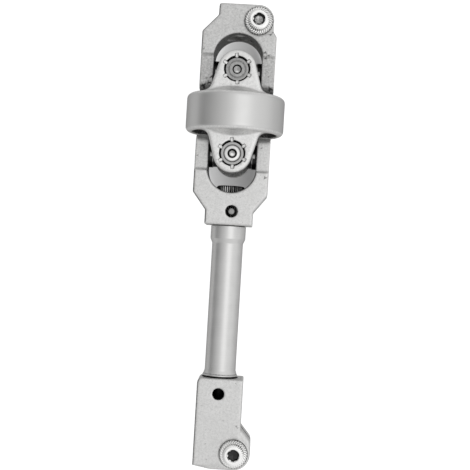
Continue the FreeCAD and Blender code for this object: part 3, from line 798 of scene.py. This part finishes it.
def finish_of(name):
    """The named finish, built once."""
    if name not in MATERIALS:
        look = bpy.context.scene.shaft_finish
        maker, *values = {
            "blasted_steel": (blasted_steel, look.blasted_tone),
            "satin_steel": (blasted_steel, look.blasted_tone * 1.14, 0.1, look.ring_tone, 3.0),
            "turned_steel": (turned_metal, look.tube_tone, look.tube_roughness, 5.0),
            "spline_steel": (plain_metal, 0.72, 0.3),
            "dark_steel": (plain_metal, 0.09, 0.38),
            "bearing_cup": (turned_metal, 0.4, 0.3, 6.0),
            "needle_steel": (plain_metal, 0.6, 0.2),
            "seal_rubber": (rubber,),
            "bright_pin": (turned_metal, 0.36, 0.45, 6.0),
            "bright_screw": (turned_metal, look.screw_tone, 0.24, 5.0, 0.012),
            "bright_washer": (plain_metal, look.screw_tone, 0.28),
        }[name]
        MATERIALS[name] = maker(name, *values)
    return MATERIALS[name]


# Pieces

class ShaftForgings(bpy.types.Operator):
    """Dresses the ring, the two yokes and the lower clamp as softened blasted forgings"""

    bl_idname = "object.shaft_forgings"
    bl_label = "Forged bodies"

    def execute(self, context):
        sizes = context.scene.shaft_sizes
        forged = {
            "coupling_ring": ("satin_steel", self.ring_shade),
            "lower_yoke": ("blasted_steel", self.lower_yoke_shade_and_tone),
            "upper_clamp_yoke": ("blasted_steel", self.upper_yoke_shade_and_tone),
            "lower_clamp": ("blasted_steel", self.lower_clamp_shade_and_blotches),
        }
        for node, (finish, painted_shade_and_tone) in forged.items():
            passes = sizes.ring_softness if node == "coupling_ring" else sizes.softness
            mesh = softened(node, sizes.voxel, passes)
            points = point_array(mesh)
            # Each kind of painted shade or darkening gives an amount at every point, and the largest counts
            mark(mesh, "painted_shade_and_tone", np.max(painted_shade_and_tone(points, point_array(mesh, "normal")), axis=0))
            if node == "coupling_ring":
                mark(mesh, "machined", about_shaft(points)[0] > girth(node, RING_CENTRE, LENGTHWISE) - 0.35)
            new_piece(node + "_forging", mesh, finish, body_of(node), node)
        return {"FINISHED"}

    def ring_shade(self, points, normals):
        """Painted shade round the front and back cups, on the ring's inner wall and on the ears' inner faces."""
        cups = [staking_shade(points, "coupling_ring", level, ("front", "back")) for level in CROSSES]
        distance, run = about_shaft(points)
        wall = girth("coupling_ring", RING_CENTRE, LENGTHWISE) - RING_WALL + 0.6
        height = along(points, RING_CENTRE, UPRIGHT)
        facing_in = normals @ UPRIGHT * np.sign(height) < -0.3
        ears = (np.abs(height) > EAR_INSIDE) & facing_in & (np.abs(run) > EAR_START)
        return [*cups, 0.6 * ((distance < wall) & (np.abs(run) < RING_HALF)), 0.45 * ears]

    def fork_shade(self, points, normals, node, level, towards_root):
        """Painted shade round the side cups, and thinly on the arch and the arms' inner faces."""
        centre = CROSSES[level]
        inner = reach(node, centre, SIDEWAYS)[1] - FORK_ARM + 0.4
        facing_in = np.abs(normals @ UPRIGHT) < 0.6
        inside = facing_in & (np.abs(along(points, centre, SIDEWAYS)) < inner)
        inside &= along(points, centre, towards_root) < ARCH_LENGTH
        inside &= about_shaft(points)[0] >= CLAMP_BORE + 0.6
        return np.maximum(staking_shade(points, node, level, ("left", "right")), 0.47 * inside)

    def hole_shade(self, points, centre, radius, depth=0.35):
        """Painted shade on the wall of an upright hole, below the front face by a depth."""
        distance, _, height = polar(points, centre, UPRIGHT)
        return below(distance, radius + 0.45) * (height < FRONT_FACE - depth)

    def washer_shadow(self, points, level):
        """The gap round a washer in its spot face."""
        node = level + "_bolt_washer"
        distance, _, height = polar(points, middle(node), UPRIGHT)
        outer = girth(node, middle(node), UPRIGHT)
        return 0.85 * below(distance, outer + 0.35, 0.35) * (height > -4.0)

    def dark_blotches(self, points, centre, spots):
        """Small dark blotches on the front face, from (aside, along, radius) in millimetres about a centre.

        Each is a disc whose radius swells and shrinks with three and five waves round it.
        """
        amounts = []
        for x, y, size in spots:
            aside, run = along(points, centre, SIDEWAYS) - x, along(points, centre, LENGTHWISE) - y
            turn = np.arctan2(run, aside)
            outline = np.maximum(size * (0.8 + 0.35 * np.sin(3 * turn + x) + 0.2 * np.sin(5 * turn + y)), 0.2)
            disc = np.clip(1.5 - np.hypot(aside, 1.3 * run) / outline, 0, 1)
            amounts.append(disc * min(1.0, 0.5 + 0.3 * size))
        return 0.66 * np.max(amounts, axis=0) * (along(points, centre, UPRIGHT) > 8.0)

    def slit_shade(self, points, normals):
        """Painted shade on the two walls of a pinch slit."""
        height = along(points, RING_CENTRE, UPRIGHT)
        return 0.7 * (np.abs(height) < SLIT_HALF + 0.2) * (np.abs(normals @ UPRIGHT) > 0.5)

    def shaded_edges(self, normals):
        """The front edges that turn to the left, which mirror the dark side of the room."""
        return 0.5 * above(-(normals @ SIDEWAYS), 0.35) * above(normals @ UPRIGHT, 0.1, 0.2)

    def lower_yoke_shade_and_tone(self, points, normals):
        """Painted shade on the fork and in the pin's hole, and the arms a little darker."""
        spots = [(20.5, -13.0, 1.2), (-21.0, -1.5, 0.9), (21.0, -27.0, 0.8), (17.5, 5.0, 0.8)]
        return [
            self.fork_shade(points, normals, "lower_yoke", "lower", -LENGTHWISE),
            self.hole_shade(points, middle("yoke_pin"), PIN_HOLE), self.dark_blotches(points, LOWER_CENTRE, spots),
            0.18 * (along(points, LOWER_CENTRE, -LENGTHWISE) < FORK_ARM_LENGTH), self.shaded_edges(normals),
        ]

    def upper_yoke_shade_and_tone(self, points, normals):
        """Painted shade on the fork, round the washer and in the slit, and the whole yoke a little darker, more so
        on the arms.
        """
        spots = [
            (-20.0, -9.5, 2.2), (-17.0, -7.5, 1.8), (-15.3, -4.0, 1.6), (-18.5, -5.0, 1.0), (20.5, -9.5, 2.0),
            (16.3, 12.0, 1.4), (16.8, 9.0, 1.3), (18.5, 10.5, 1.0), (18.5, 23.0, 1.2), (20.0, 24.5, 1.0),
            (19.0, -2.0, 0.9), (18.0, 1.0, 0.8), (-21.0, 12.5, 0.8),
        ]
        arms = along(points, UPPER_CENTRE, LENGTHWISE) < FORK_ARM_LENGTH
        return [
            self.fork_shade(points, normals, "upper_clamp_yoke", "upper", LENGTHWISE),
            self.washer_shadow(points, "upper"), self.slit_shade(points, normals),
            self.dark_blotches(points, UPPER_CENTRE, spots), np.where(arms, 0.31, 0.22), self.shaded_edges(normals),
        ]

    def lower_clamp_shade_and_blotches(self, points, normals):
        """Painted shade in the drilled hole, at the tube's mouth, round the washer and in the slit."""
        top = reach("lower_clamp", RING_CENTRE, LENGTHWISE)[1]
        hole = RING_CENTRE + LENGTHWISE * (top - DRILLED_PLACE) * MM
        distance, run = about_shaft(points)
        # Painted shadow at the tube's mouth, under its lip on the clamp's top
        near_tube = below(distance, girth("shaft_tube", RING_CENTRE, LENGTHWISE) + 0.4, 0.5)
        return [
            self.hole_shade(points, hole, DRILLED_HOLE), near_tube * band(run, top - 0.5, top + 1.0, 0.2),
            self.washer_shadow(points, "lower"), self.slit_shade(points, normals),
            self.dark_blotches(points, hole, [(12.0, -18.5, 0.9), (13.0, -19.5, 0.7), (-6.0, -30.0, 0.6)]),
            self.shaded_edges(normals),
        ]


class ShaftCrosses(bpy.types.Operator):
    """Dresses the two forged crosses"""

    bl_idname = "object.shaft_crosses"
    bl_label = "Crosses"

    def execute(self, context):
        sizes = context.scene.shaft_sizes
        for node in ("upper_cross", "lower_cross"):
            mesh = softened(node, sizes.voxel, sizes.softness)
            new_piece(node + "_forging", mesh, "dark_steel", body_of(node), node)
        return {"FINISHED"}


# How the front cups differ: painted shade in the groove, a darker face, the dimple's painted dark line, the painted
# highlight in the dimple (its place in millimetres, how flat and how bright it is), and the disc's painted
# highlight with its change round about
CUP_LOOKS = {
    "upper": {"groove": 0.34, "dimming": 0.32, "line": 2.0, "spot": (0.1, -1.35, 2.2, 0.8), "disc": (0.1, 0.0)},
    "lower": {"groove": 0.55, "dimming": 0.0, "line": 1.6, "spot": (0.2, -0.6, 1.3, 1.3), "disc": (0.65, 0.25)},
}


class ShaftCups(bpy.types.Operator):
    """Dresses the eight bearing cups: rounded rims, a turned groove, a raised disc and a centre dimple"""

    bl_idname = "object.shaft_cups"
    bl_label = "Bearing cups"

    def execute(self, context):
        for level, centre in CROSSES.items():
            for side, axis in BEARING_SIDES.items():
                node = level + "_" + side + "_cup"
                ends_and_girth = measured(node, centre, axis)
                mesh = turned_mesh(node, self.profile(*ends_and_girth), centre, axis, 96)
                self.finish(mesh, CUP_LOOKS[level], centre, axis, *ends_and_girth)
                surface_piece(node, mesh, "bearing_cup")
        return {"FINISHED"}

    def profile(self, mouth, end, radius):
        """From the middle of the cup's floor out to its mouth, and over the rim back to the dimple."""
        bore = radius - CUP_WALL
        return rounded([
            (0, end - 2.2), (bore, end - 2.2, 0.5), (bore, mouth, 0.2), (radius, mouth, 0.3), (radius, end, 0.85),
            (radius - 2.1, end, 0.12), (radius - 2.3, end - 0.3, 0.12), (radius - 2.6, end - 0.3, 0.12),
            (radius - 2.8, end, 0.2), (2.9, end, 0.35), (2.1, end - 1.05, 0.3), (0, end - 1.25),
        ])

    def finish(self, mesh, look, centre, axis, mouth, end, radius):
        """Painted shade on the rim, in the groove and in the dimple, and painted highlights on the disc and in the
        dimple.
        """
        points = point_array(mesh)
        distance, angle, height = polar(points, centre, axis)
        # The wall's top line is left free of the painted shade, as a painted glint
        painted_glint_line = np.exp(-((along(points, centre, UPRIGHT) - radius) / 0.12) ** 2)
        wall = band(height, mouth + 0.7, mouth + 2.0, 0.4)
        rim = above(distance, radius - 0.75) * above(height, mouth + 0.45) * (1 - painted_glint_line * wall)
        groove = look["groove"] * band(distance, radius - 2.7, radius - 2.2, 0.2) * (height > end - 1.0)
        outside = height > end - 1.5
        line = 0.85 * band(distance, look["line"], 2.75, 0.4) * outside
        dimple = 0.3 * below(distance, 2.2, 0.4) * outside
        dimming = look["dimming"] * below(distance, radius - 1.0)
        x, y, flat, bright = look["spot"]
        aside, run = along(points, centre, SIDEWAYS) - x, along(points, centre, LENGTHWISE) - y
        # Painted highlight: a soft bright spot in the dimple
        spot = bright * np.exp(-np.hypot(aside, run * flat) ** 2)
        painted_highlight, change = look["disc"]
        # Painted highlight on the disc, lighter on one side
        disc = (painted_highlight + change * np.cos(angle + 2.3)) * band(distance, 2.9, 4.3, 0.4)
        face = outside * (np.abs(axis @ UPRIGHT) > 0.5)
        mark(mesh, "painted_shade_and_tone", np.max([rim, groove, line, dimple, dimming], axis=0) * (1 - face * np.clip(spot, 0, 1)))
        mark(mesh, "painted_highlight", face * np.maximum(spot, disc))


class ShaftBearings(bpy.types.Operator):
    """Gives the needles and the seals their finishes"""

    bl_idname = "object.shaft_bearings"
    bl_label = "Needles and seals"

    def execute(self, context):
        for level in CROSSES:
            for side in BEARING_SIDES:
                for kind, finish in (("needles", "needle_steel"), ("seal", "seal_rubber")):
                    node = frame["nodes"][level + "_" + side + "_" + kind]
                    node.data.materials.clear()
                    node.data.materials.append(finish_of(finish))
        return {"FINISHED"}


class ShaftTube(bpy.types.Operator):
    """Turns the outer tube with its collar, its flared lip and its drilled spigot"""

    bl_idname = "object.shaft_tube"
    bl_label = "Tube"

    def execute(self, context):
        node = "shaft_tube"
        bottom, top, collar = measured(node, RING_CENTRE, LENGTHWISE)
        clamp = reach("lower_clamp", RING_CENTRE, LENGTHWISE)[1]
        profile = rounded([
            # The collar and its cone
            (TUBE_BORE, top, 0.3), (collar - 0.9, top), (collar - 0.9, top - 0.35), (collar, top - 0.45, 0.3),
            (collar, top - 8.2, 0.5), (TUBE_RADIUS, top - 11.0, 1.6),
            # The flare, its lip and the groove below it
            (TUBE_RADIUS, clamp + 4.4, 3.0), (FLARE_RADIUS, clamp + 1.9, 0.5), (LIP_RADIUS, clamp + 1.6, 0.2),
            (LIP_RADIUS, clamp + 0.85, 0.3), (NECK_RADIUS, clamp + 0.7, 0.2), (NECK_RADIUS, clamp + 0.05),
            # The spigot in the clamp
            (SPIGOT_RADIUS, clamp + 0.05, 0.2), (SPIGOT_RADIUS, bottom, 0.5), (TUBE_BORE, bottom, 0.3),
        ], 8)
        mesh = turned_mesh(node, profile, RING_CENTRE, LENGTHWISE, 144, 0.8, loop=True)
        mesh = self.drilled(context, mesh, clamp - DRILLED_PLACE)
        distance, run = about_shaft(point_array(mesh))
        # Painted shade at the neck and spigot below the lip, on the collar's rim and in the bore; a darker band at
        # the lip's top
        lip = 0.5 * band(run, clamp + 1.75, clamp + 2.3)
        rim = (run > top - 0.55) & (distance < collar - 0.15)
        dark = (run < clamp + 0.8) | rim | (distance < TUBE_RADIUS - 0.5)
        mark(mesh, "painted_shade_and_tone", np.maximum(lip, dark))
        surface_piece(node, mesh, "turned_steel")
        return {"FINISHED"}

    def drilled(self, context, mesh, place):
        """The tube's mesh less a round hole through the front of its spigot."""
        profile = np.array([(0, 0), (DRILLED_HOLE, 0), (DRILLED_HOLE, 14), (0, 14)], float)
        rod = grid_mesh("drill", turned_grid(profile, 64), RING_CENTRE + LENGTHWISE * place * MM, UPRIGHT)
        tube, drill = linked("tube_draft", mesh), linked("drill", closed_mesh(rod))
        hole = tube.modifiers.new("Drilled spigot", "BOOLEAN")
        hole.object = drill
        hole.solver = "EXACT"
        cut = bpy.data.meshes.new_from_object(tube.evaluated_get(context.evaluated_depsgraph_get()))
        bpy.data.objects.remove(tube)
        bpy.data.objects.remove(drill)
        return cut


class ShaftStub(bpy.types.Operator):
    """Cuts the stub shaft: pointed serrations, a chamfered end with a centre, and a plain tail"""

    bl_idname = "object.shaft_stub"
    bl_label = "Stub shaft"

    def execute(self, context):
        teeth = context.scene.shaft_sizes.stub_teeth
        node = "stub_shaft"
        bottom, top, outer = measured(node, RING_CENTRE, LENGTHWISE)
        shoulder = reach("shaft_tube", RING_CENTRE, LENGTHWISE)[1]
        profile = np.array([
            (0, top - 2.0), (2.0, top), (outer - 0.8, top), (outer, top - 0.8), (outer, shoulder + 0.6),
            (outer - 0.6, shoulder), (STUB_TAIL, shoulder), (STUB_TAIL, bottom + 0.8),
            (STUB_TAIL - 0.8, bottom), (0, bottom),
        ])
        radius, angle, height = turned_grid(profile, teeth * 8)
        turns = angle * teeth / (2 * math.pi)
        # A tooth's radius is the outer one less its depth times one minus a pointed wave of the angle
        radius = np.minimum(radius, outer - STUB_TOOTH * (1 - saw(turns)))
        mesh = grid_mesh(node + "_surface", (radius, angle, height), RING_CENTRE, LENGTHWISE)
        # Painted shade over the serrated end, lifted by painted highlights on the crests
        mark(mesh, "painted_shade_and_tone", np.where(radius > outer - 0.9, 0.95 - 0.9 * self.crest_highlights(turns, angle), 0.85).ravel())
        surface_piece(node, closed_mesh(mesh, 25), "spline_steel")
        return {"FINISHED"}

    def crest_highlights(self, turns, angle):
        """How bright the painted highlight on each tooth's crest is: uneven from tooth to tooth, and dimmer away
        from the front and back.

        A tooth's own level is the part after the point of a large multiple of the sine of its count.
        """
        uneven = np.mod(np.sin(np.floor(turns + 0.5) * 12.9898) * 43758.5453, 1.0)
        crest = below(1 - saw(turns), 0.5) * np.where(uneven > 0.4, 1.0, 0.25 + 0.3 * uneven)
        return crest * (0.25 + 0.75 * np.abs(np.cos(angle)) ** 8)


class ShaftPin(bpy.types.Operator):
    """Turns the yoke pin with its crowned, bevelled ends"""

    bl_idname = "object.shaft_pin"
    bl_label = "Yoke pin"

    def execute(self, context):
        node = "yoke_pin"
        centre = middle(node)
        _, half, radius = measured(node, centre, UPRIGHT)
        profile = rounded([
            (0, half), (radius * 0.55, half, 0.6), (radius, half - 0.35, 0.3), (radius, 0.35 - half, 0.3),
            (radius * 0.55, -half, 0.6), (0, -half),
        ])
        mesh = turned_mesh(node, profile, centre, UPRIGHT, 48)
        distance = polar(point_array(mesh), centre, UPRIGHT)[0]
        # Painted shade on the pin's edge in its hole, and a little darker all over
        mark(mesh, "painted_shade_and_tone", 0.25 + 0.6 * above(distance, radius - 0.4))
        surface_piece(node, mesh, "bright_pin")
        return {"FINISHED"}


def tooth_turns(angle, radius, sizes):
    """How many teeth have passed at an angle, where each slants by 1.1 teeth on every 2.4 mm outwards."""
    return sizes.washer_teeth * angle / (2 * math.pi) + (radius - 5.5) / 2.4 * 1.1


def screw_grids(low, high, head_base, head_radius, sizes):
    """A screw's grids: a head with a six-lobe socket, and a shank whose thread runs down as the angle turns.

    In the socket the radius is its mean plus a lobe times the cosine of six times the angle. On the thread it is
    the outer radius less a pointed wave of the height divided by the pitch, plus the share of a turn.
    """
    floor = high - SOCKET_DEPTH
    head = evened(rounded([
        (0, floor - 0.5), (SOCKET_RADIUS, floor, 0.2), (SOCKET_RADIUS, high - 1.0, 0.3),
        (SOCKET_RADIUS + 0.9, high, 0.2), (head_radius - HEAD_CONE, high, 0.3),
        (head_radius - 0.05, high - 0.55, 0.2), (head_radius, head_base + 0.1, 0.05), (SHANK_RADIUS, head_base),
    ]), 0.3)
    rows = np.arange(head_base - 0.4, low + 1.0, -sizes.thread_pitch / 5)
    shank = np.stack([np.full_like(rows, SHANK_RADIUS), rows], axis=1)
    tip = np.array([(SHANK_RADIUS - 1.0, low), (0, low)])
    profile = np.concatenate([head, shank, tip])
    radius, angle, height = turned_grid(profile, sizes.washer_teeth * 6)
    on_head = (np.arange(len(profile)) < len(head)) & (profile[:, 1] > head_base + 0.3)
    socket = on_head & (profile[:, 0] < SOCKET_RADIUS + 0.3)
    radius[socket] *= 1 + sizes.socket_lobe / SOCKET_RADIUS * np.cos(6 * angle[socket])
    flank = on_head & (profile[:, 0] > head_radius - 0.3)
    radius[flank] -= KNURL_DEPTH * (1 - saw(tooth_turns(angle, radius, sizes)[flank]))
    thread = slice(len(head) + 3, len(profile) - 2)
    turns = height[thread] / sizes.thread_pitch + angle[thread] / (2 * math.pi)
    radius[thread] -= THREAD_DEPTH * (1 - saw(turns))
    return radius, angle, height


class ShaftScrews(bpy.types.Operator):
    """Makes the two pinch screws with their six-lobe sockets and threads"""

    bl_idname = "object.shaft_screws"
    bl_label = "Pinch screws"

    def execute(self, context):
        sizes = context.scene.shaft_sizes
        for level in CROSSES:
            node, washer = level + "_pinch_bolt", level + "_bolt_washer"
            centre = middle(washer)
            low, high, head_radius = measured(node, centre, UPRIGHT)
            head_base = reach(washer, centre, UPRIGHT)[1]
            grids = screw_grids(low, high, head_base, head_radius, sizes)
            mesh = closed_mesh(grid_mesh(node + "_surface", grids, centre, UPRIGHT), 30)
            distance, angle, height = polar(point_array(mesh), centre, UPRIGHT)
            towards_light = np.cos(angle + 0.8)
            on_head = height > head_base
            # Painted shade in lines between the knurls of the flank, which a painted light evens out on one side
            uneven = 0.55 - 0.4 * np.sin(2 * angle) if level == "upper" else 0.75 * np.maximum(towards_light, 0) ** 2
            knurl_shade = uneven * below(saw(tooth_turns(angle, distance, sizes)), 0.38, 0.2)
            knurl_shade *= (distance > head_radius - 1.3) & (height > head_base + 0.05)
            # Painted shade on the socket's wall below an edge that stands higher where the wall faces the light
            edge = high - 0.95 + (0.45 + 0.4 * towards_light) * (0.9 + 0.2 * np.sin(5 * angle + 1))
            depth = np.where(distance < 2.4, 0.52 if level == "upper" else 0.9, 0.9)
            socket = depth * below(distance, 3.95, 0.1) * below(height - edge, 0.0, 0.35) * on_head
            # Painted shade on the shank under the head
            shank = 0.7 * ((height < head_base + 0.05) & (distance < SHANK_RADIUS + 0.5))
            mark(mesh, "painted_shade_and_tone", np.max([socket, shank, knurl_shade], axis=0))
            surface_piece(node, mesh, "bright_screw")
        return {"FINISHED"}


class ShaftWashers(bpy.types.Operator):
    """Makes the two lock washers with slanted teeth"""

    bl_idname = "object.shaft_washers"
    bl_label = "Lock washers"

    def execute(self, context):
        sizes = context.scene.shaft_sizes
        for level in CROSSES:
            node = level + "_bolt_washer"
            centre = middle(node)
            low, high, outer = measured(node, centre, UPRIGHT)
            profile = rounded([
                (WASHER_HOLE, high, 0.2), *[(WASHER_FLAT + step, high) for step in (0.0, 0.6, 1.1, 1.6)],
                (outer, high - 0.5), (outer, low, 0.2), (WASHER_HOLE, low, 0.2),
            ], 4)
            radius, angle, height = turned_grid(profile, sizes.washer_teeth * 8)
            # A tooth is a pointed wave cut flat at half its height, which lowers the face and notches the rim
            tooth = np.clip(2 * saw(tooth_turns(angle, radius, sizes)), 0, 1)
            toothed = radius > WASHER_FLAT + 0.1
            rise = np.clip((radius - WASHER_FLAT) / 0.6, 0, 1) * (toothed & (height > low + 0.4))
            height = height - sizes.washer_tooth_height * (1 - tooth) * rise
            radius = radius - np.where(radius > outer - 0.01, WASHER_NOTCH * (1 - tooth), 0)
            mesh = grid_mesh(node + "_surface", (radius, angle, height), centre, UPRIGHT, loop=True)
            # Painted shade between the teeth, stronger or weaker round about as the light falls
            uneven = 0.88 - 0.12 * np.sin(2 * angle) if level == "upper" else 0.6 + 0.35 * np.cos(angle + 0.8)
            dark = uneven * below(tooth, 0.58, 0.2)
            mark(mesh, "painted_shade_and_tone", np.where(radius > WASHER_FLAT + 0.1, dark, 0.0).ravel())
            surface_piece(node, closed_mesh(mesh, 20), "bright_washer")
        return {"FINISHED"}


class ShaftBoreSplines(bpy.types.Operator):
    """Lines the two clamp bores with their serrations, open where each clamp is slit"""

    bl_idname = "object.shaft_bore_splines"
    bl_label = "Bore serrations"

    def execute(self, context):
        teeth = context.scene.shaft_sizes.bore_teeth
        starts_and_lengths = {
            "upper_clamp_yoke": (reach("upper_clamp_yoke", RING_CENTRE, LENGTHWISE)[1] - 0.9, 18.0),
            "lower_clamp": (reach("shaft_tube", RING_CENTRE, LENGTHWISE)[0] - 3.2, 27.0),
        }
        # The slit opens towards SIDEWAYS, which is a quarter turn on from the first direction across
        first, second = across(LENGTHWISE)
        shift = math.atan2(SIDEWAYS @ second, SIDEWAYS @ first)
        gap = math.asin(SLIT_HALF / CLAMP_BORE)
        for node, (top, length) in starts_and_lengths.items():
            angle = np.linspace(gap, 2 * math.pi - gap, teeth * 8)
            # The lining's inner radius is the bore's less the tooth's depth times a pointed wave of the angle
            inner = CLAMP_BORE - 0.05 - BORE_TOOTH * saw(angle * teeth / (2 * math.pi))
            outer = np.full_like(inner, CLAMP_BORE + 0.05)
            radius = np.stack([outer, outer, inner, inner], axis=1)
            height = np.tile([top, top - length, top - length, top], (len(angle), 1))
            turned = np.tile(angle[:, None], (1, 4)) + shift
            name = node + "_serrations"
            mesh = grid_mesh(name, (radius, turned, height), RING_CENTRE, LENGTHWISE, capped=True)
            # Painted shade: the whole lining is darkened, as it lies inside the bore
            mark(mesh, "painted_shade_and_tone", np.full(len(mesh.vertices), 0.25))
            new_piece(name, closed_mesh(mesh, 25), "spline_steel", body_of(node))
        return {"FINISHED"}


class ShaftStageSetting(bpy.types.Operator):
    """Lays the paper, sets the soft studio light and places the camera"""

    bl_idname = "object.shaft_stage"
    bl_label = "Stage"

    def execute(self, context):
        stage = context.scene.shaft_stage
        self.lay_paper(stage)
        self.light_world(context)
        self.hang_lamp(stage)
        self.place_camera(context, stage)
        context.scene.view_settings.view_transform = "Standard"
        return {"FINISHED"}

    def lay_paper(self, stage):
        """A sheet of pale paper at the floor's height."""
        mesh = bpy.data.meshes.new("paper")
        corners = [(x * PAPER_HALF, y * PAPER_HALF, 0) for x, y in ((-1, -1), (1, -1), (1, 1), (-1, 1))]
        mesh.from_pydata(corners, [], [(0, 1, 2, 3)])
        mesh.materials.append(floor_paper("paper", stage.paper_tone, stage.paper_glow))
        linked("paper", mesh)

    def light_world(self, context):
        """A soft sky: bright above and to the right, darker at the left horizon, and plain white to the camera."""
        world = bpy.data.worlds.new("Soft studio")
        context.scene.world = world
        world.use_nodes = True
        tree = world.node_tree
        direction = parted(tree, node_in(tree, "ShaderNodeTexCoord").outputs["Generated"])
        left_to_right = self.sky_ramp(tree, direction["X"], [
            (0.0, 0.24), (0.06, 0.42), (0.13, 0.56), (0.26, 0.70), (0.42, 0.90), (0.58, 1.03), (0.72, 1.08),
            (0.86, 1.02), (1.0, 0.9),
        ])
        near_to_far = self.sky_ramp(tree, direction["Y"], [(0.0, 0.85), (0.2, 1.0), (0.75, 1.0), (1.0, 0.75)])
        background = tree.nodes["Background"].inputs
        seen = node_in(tree, "ShaderNodeLightPath").outputs["Is Camera Ray"]
        feed(tree, background["Color"], mixed_colour(tree, seen, left_to_right, (1.0, 1.0, 1.0)))
        feed(tree, background["Strength"], worked(tree, "MAXIMUM", seen, near_to_far))

    def sky_ramp(self, tree, direction, tones):
        """A grey that changes with one component of the direction, from (position, tone) pairs over -1 to 1."""
        ramp = node_in(tree, "ShaderNodeValToRGB")
        ramp.color_ramp.interpolation = "B_SPLINE"
        for i, (position, tone) in enumerate(tones):
            stop = ramp.color_ramp.elements[i] if i < 2 else ramp.color_ramp.elements.new(position)
            stop.position = position
            stop.color = (tone, tone, tone, 1.0)
        feed(tree, ramp.inputs["Fac"], between(tree, direction, 0.0, 1.0, -1.0))
        return ramp.outputs["Color"]

    def hang_lamp(self, stage):
        """A soft lamp above the shaft, aimed near the middle of the paper."""
        lamp = bpy.data.lights.new("key_lamp", "AREA")
        lamp.size = LAMP_SIZE
        lamp.energy = stage.key_power
        place = Vector(LAMP_PLACE)
        aim = (Vector(RING_CENTRE) * 0.2 - place).to_track_quat("-Z", "Y")
        linked("key_lamp", lamp).matrix_world = Matrix.LocRotScale(place, aim, None)

    def place_camera(self, context, stage):
        """A long lens above the shaft's middle, turned a little, so that the shaft leans in the picture."""
        lens = bpy.data.cameras.new("camera")
        lens.lens = stage.lens
        lens.sensor_width = 36.0
        camera = linked("camera", lens)
        turn = Vector([math.radians(degrees) for degrees in stage.camera_turn])
        place = Vector(RING_CENTRE) + Vector(stage.camera_place) * MM
        camera.matrix_world = Matrix.LocRotScale(place, Quaternion(turn.normalized(), turn.length), None)
        context.scene.camera = camera


class ShaftPanel(bpy.types.Panel):
    """The shaft's steps in the sidebar"""

    bl_idname = "VIEW3D_PT_steering_shaft"
    bl_label = "Steering shaft"
    bl_space_type = "VIEW_3D"
    bl_region_type = "UI"
    bl_category = "Steering shaft"

    def draw(self, context):
        for settings in SETTINGS:
            group = getattr(context.scene, settings)
            for name in group.__annotations__:
                self.layout.prop(group, name)
        for operator in OPERATORS:
            self.layout.operator(operator.bl_idname)


SETTINGS = {"shaft_sizes": ShaftSizes, "shaft_finish": ShaftFinish, "shaft_stage": ShaftStage}
OPERATORS = (
    ShaftForgings, ShaftCrosses, ShaftCups, ShaftBearings, ShaftTube, ShaftStub, ShaftPin, ShaftScrews,
    ShaftWashers, ShaftBoreSplines, ShaftStageSetting,
)


def register():
    for cls in (*SETTINGS.values(), *OPERATORS, ShaftPanel):
        bpy.utils.register_class(cls)
    for name, cls in SETTINGS.items():
        setattr(bpy.types.Scene, name, bpy.props.PointerProperty(type=cls))


def unregister():
    for name in SETTINGS:
        delattr(bpy.types.Scene, name)
    for cls in (ShaftPanel, *reversed(OPERATORS), *reversed(SETTINGS.values())):
        bpy.utils.unregister_class(cls)


def main():
    register()
    bpy.ops.object.shaft_forgings()
    bpy.ops.object.shaft_crosses()
    bpy.ops.object.shaft_cups()
    bpy.ops.object.shaft_bearings()
    bpy.ops.object.shaft_tube()
    bpy.ops.object.shaft_stub()
    bpy.ops.object.shaft_pin()
    bpy.ops.object.shaft_screws()
    bpy.ops.object.shaft_washers()
    bpy.ops.object.shaft_bore_splines()
    bpy.ops.object.shaft_stage()


if __name__ == "__main__":
    main()
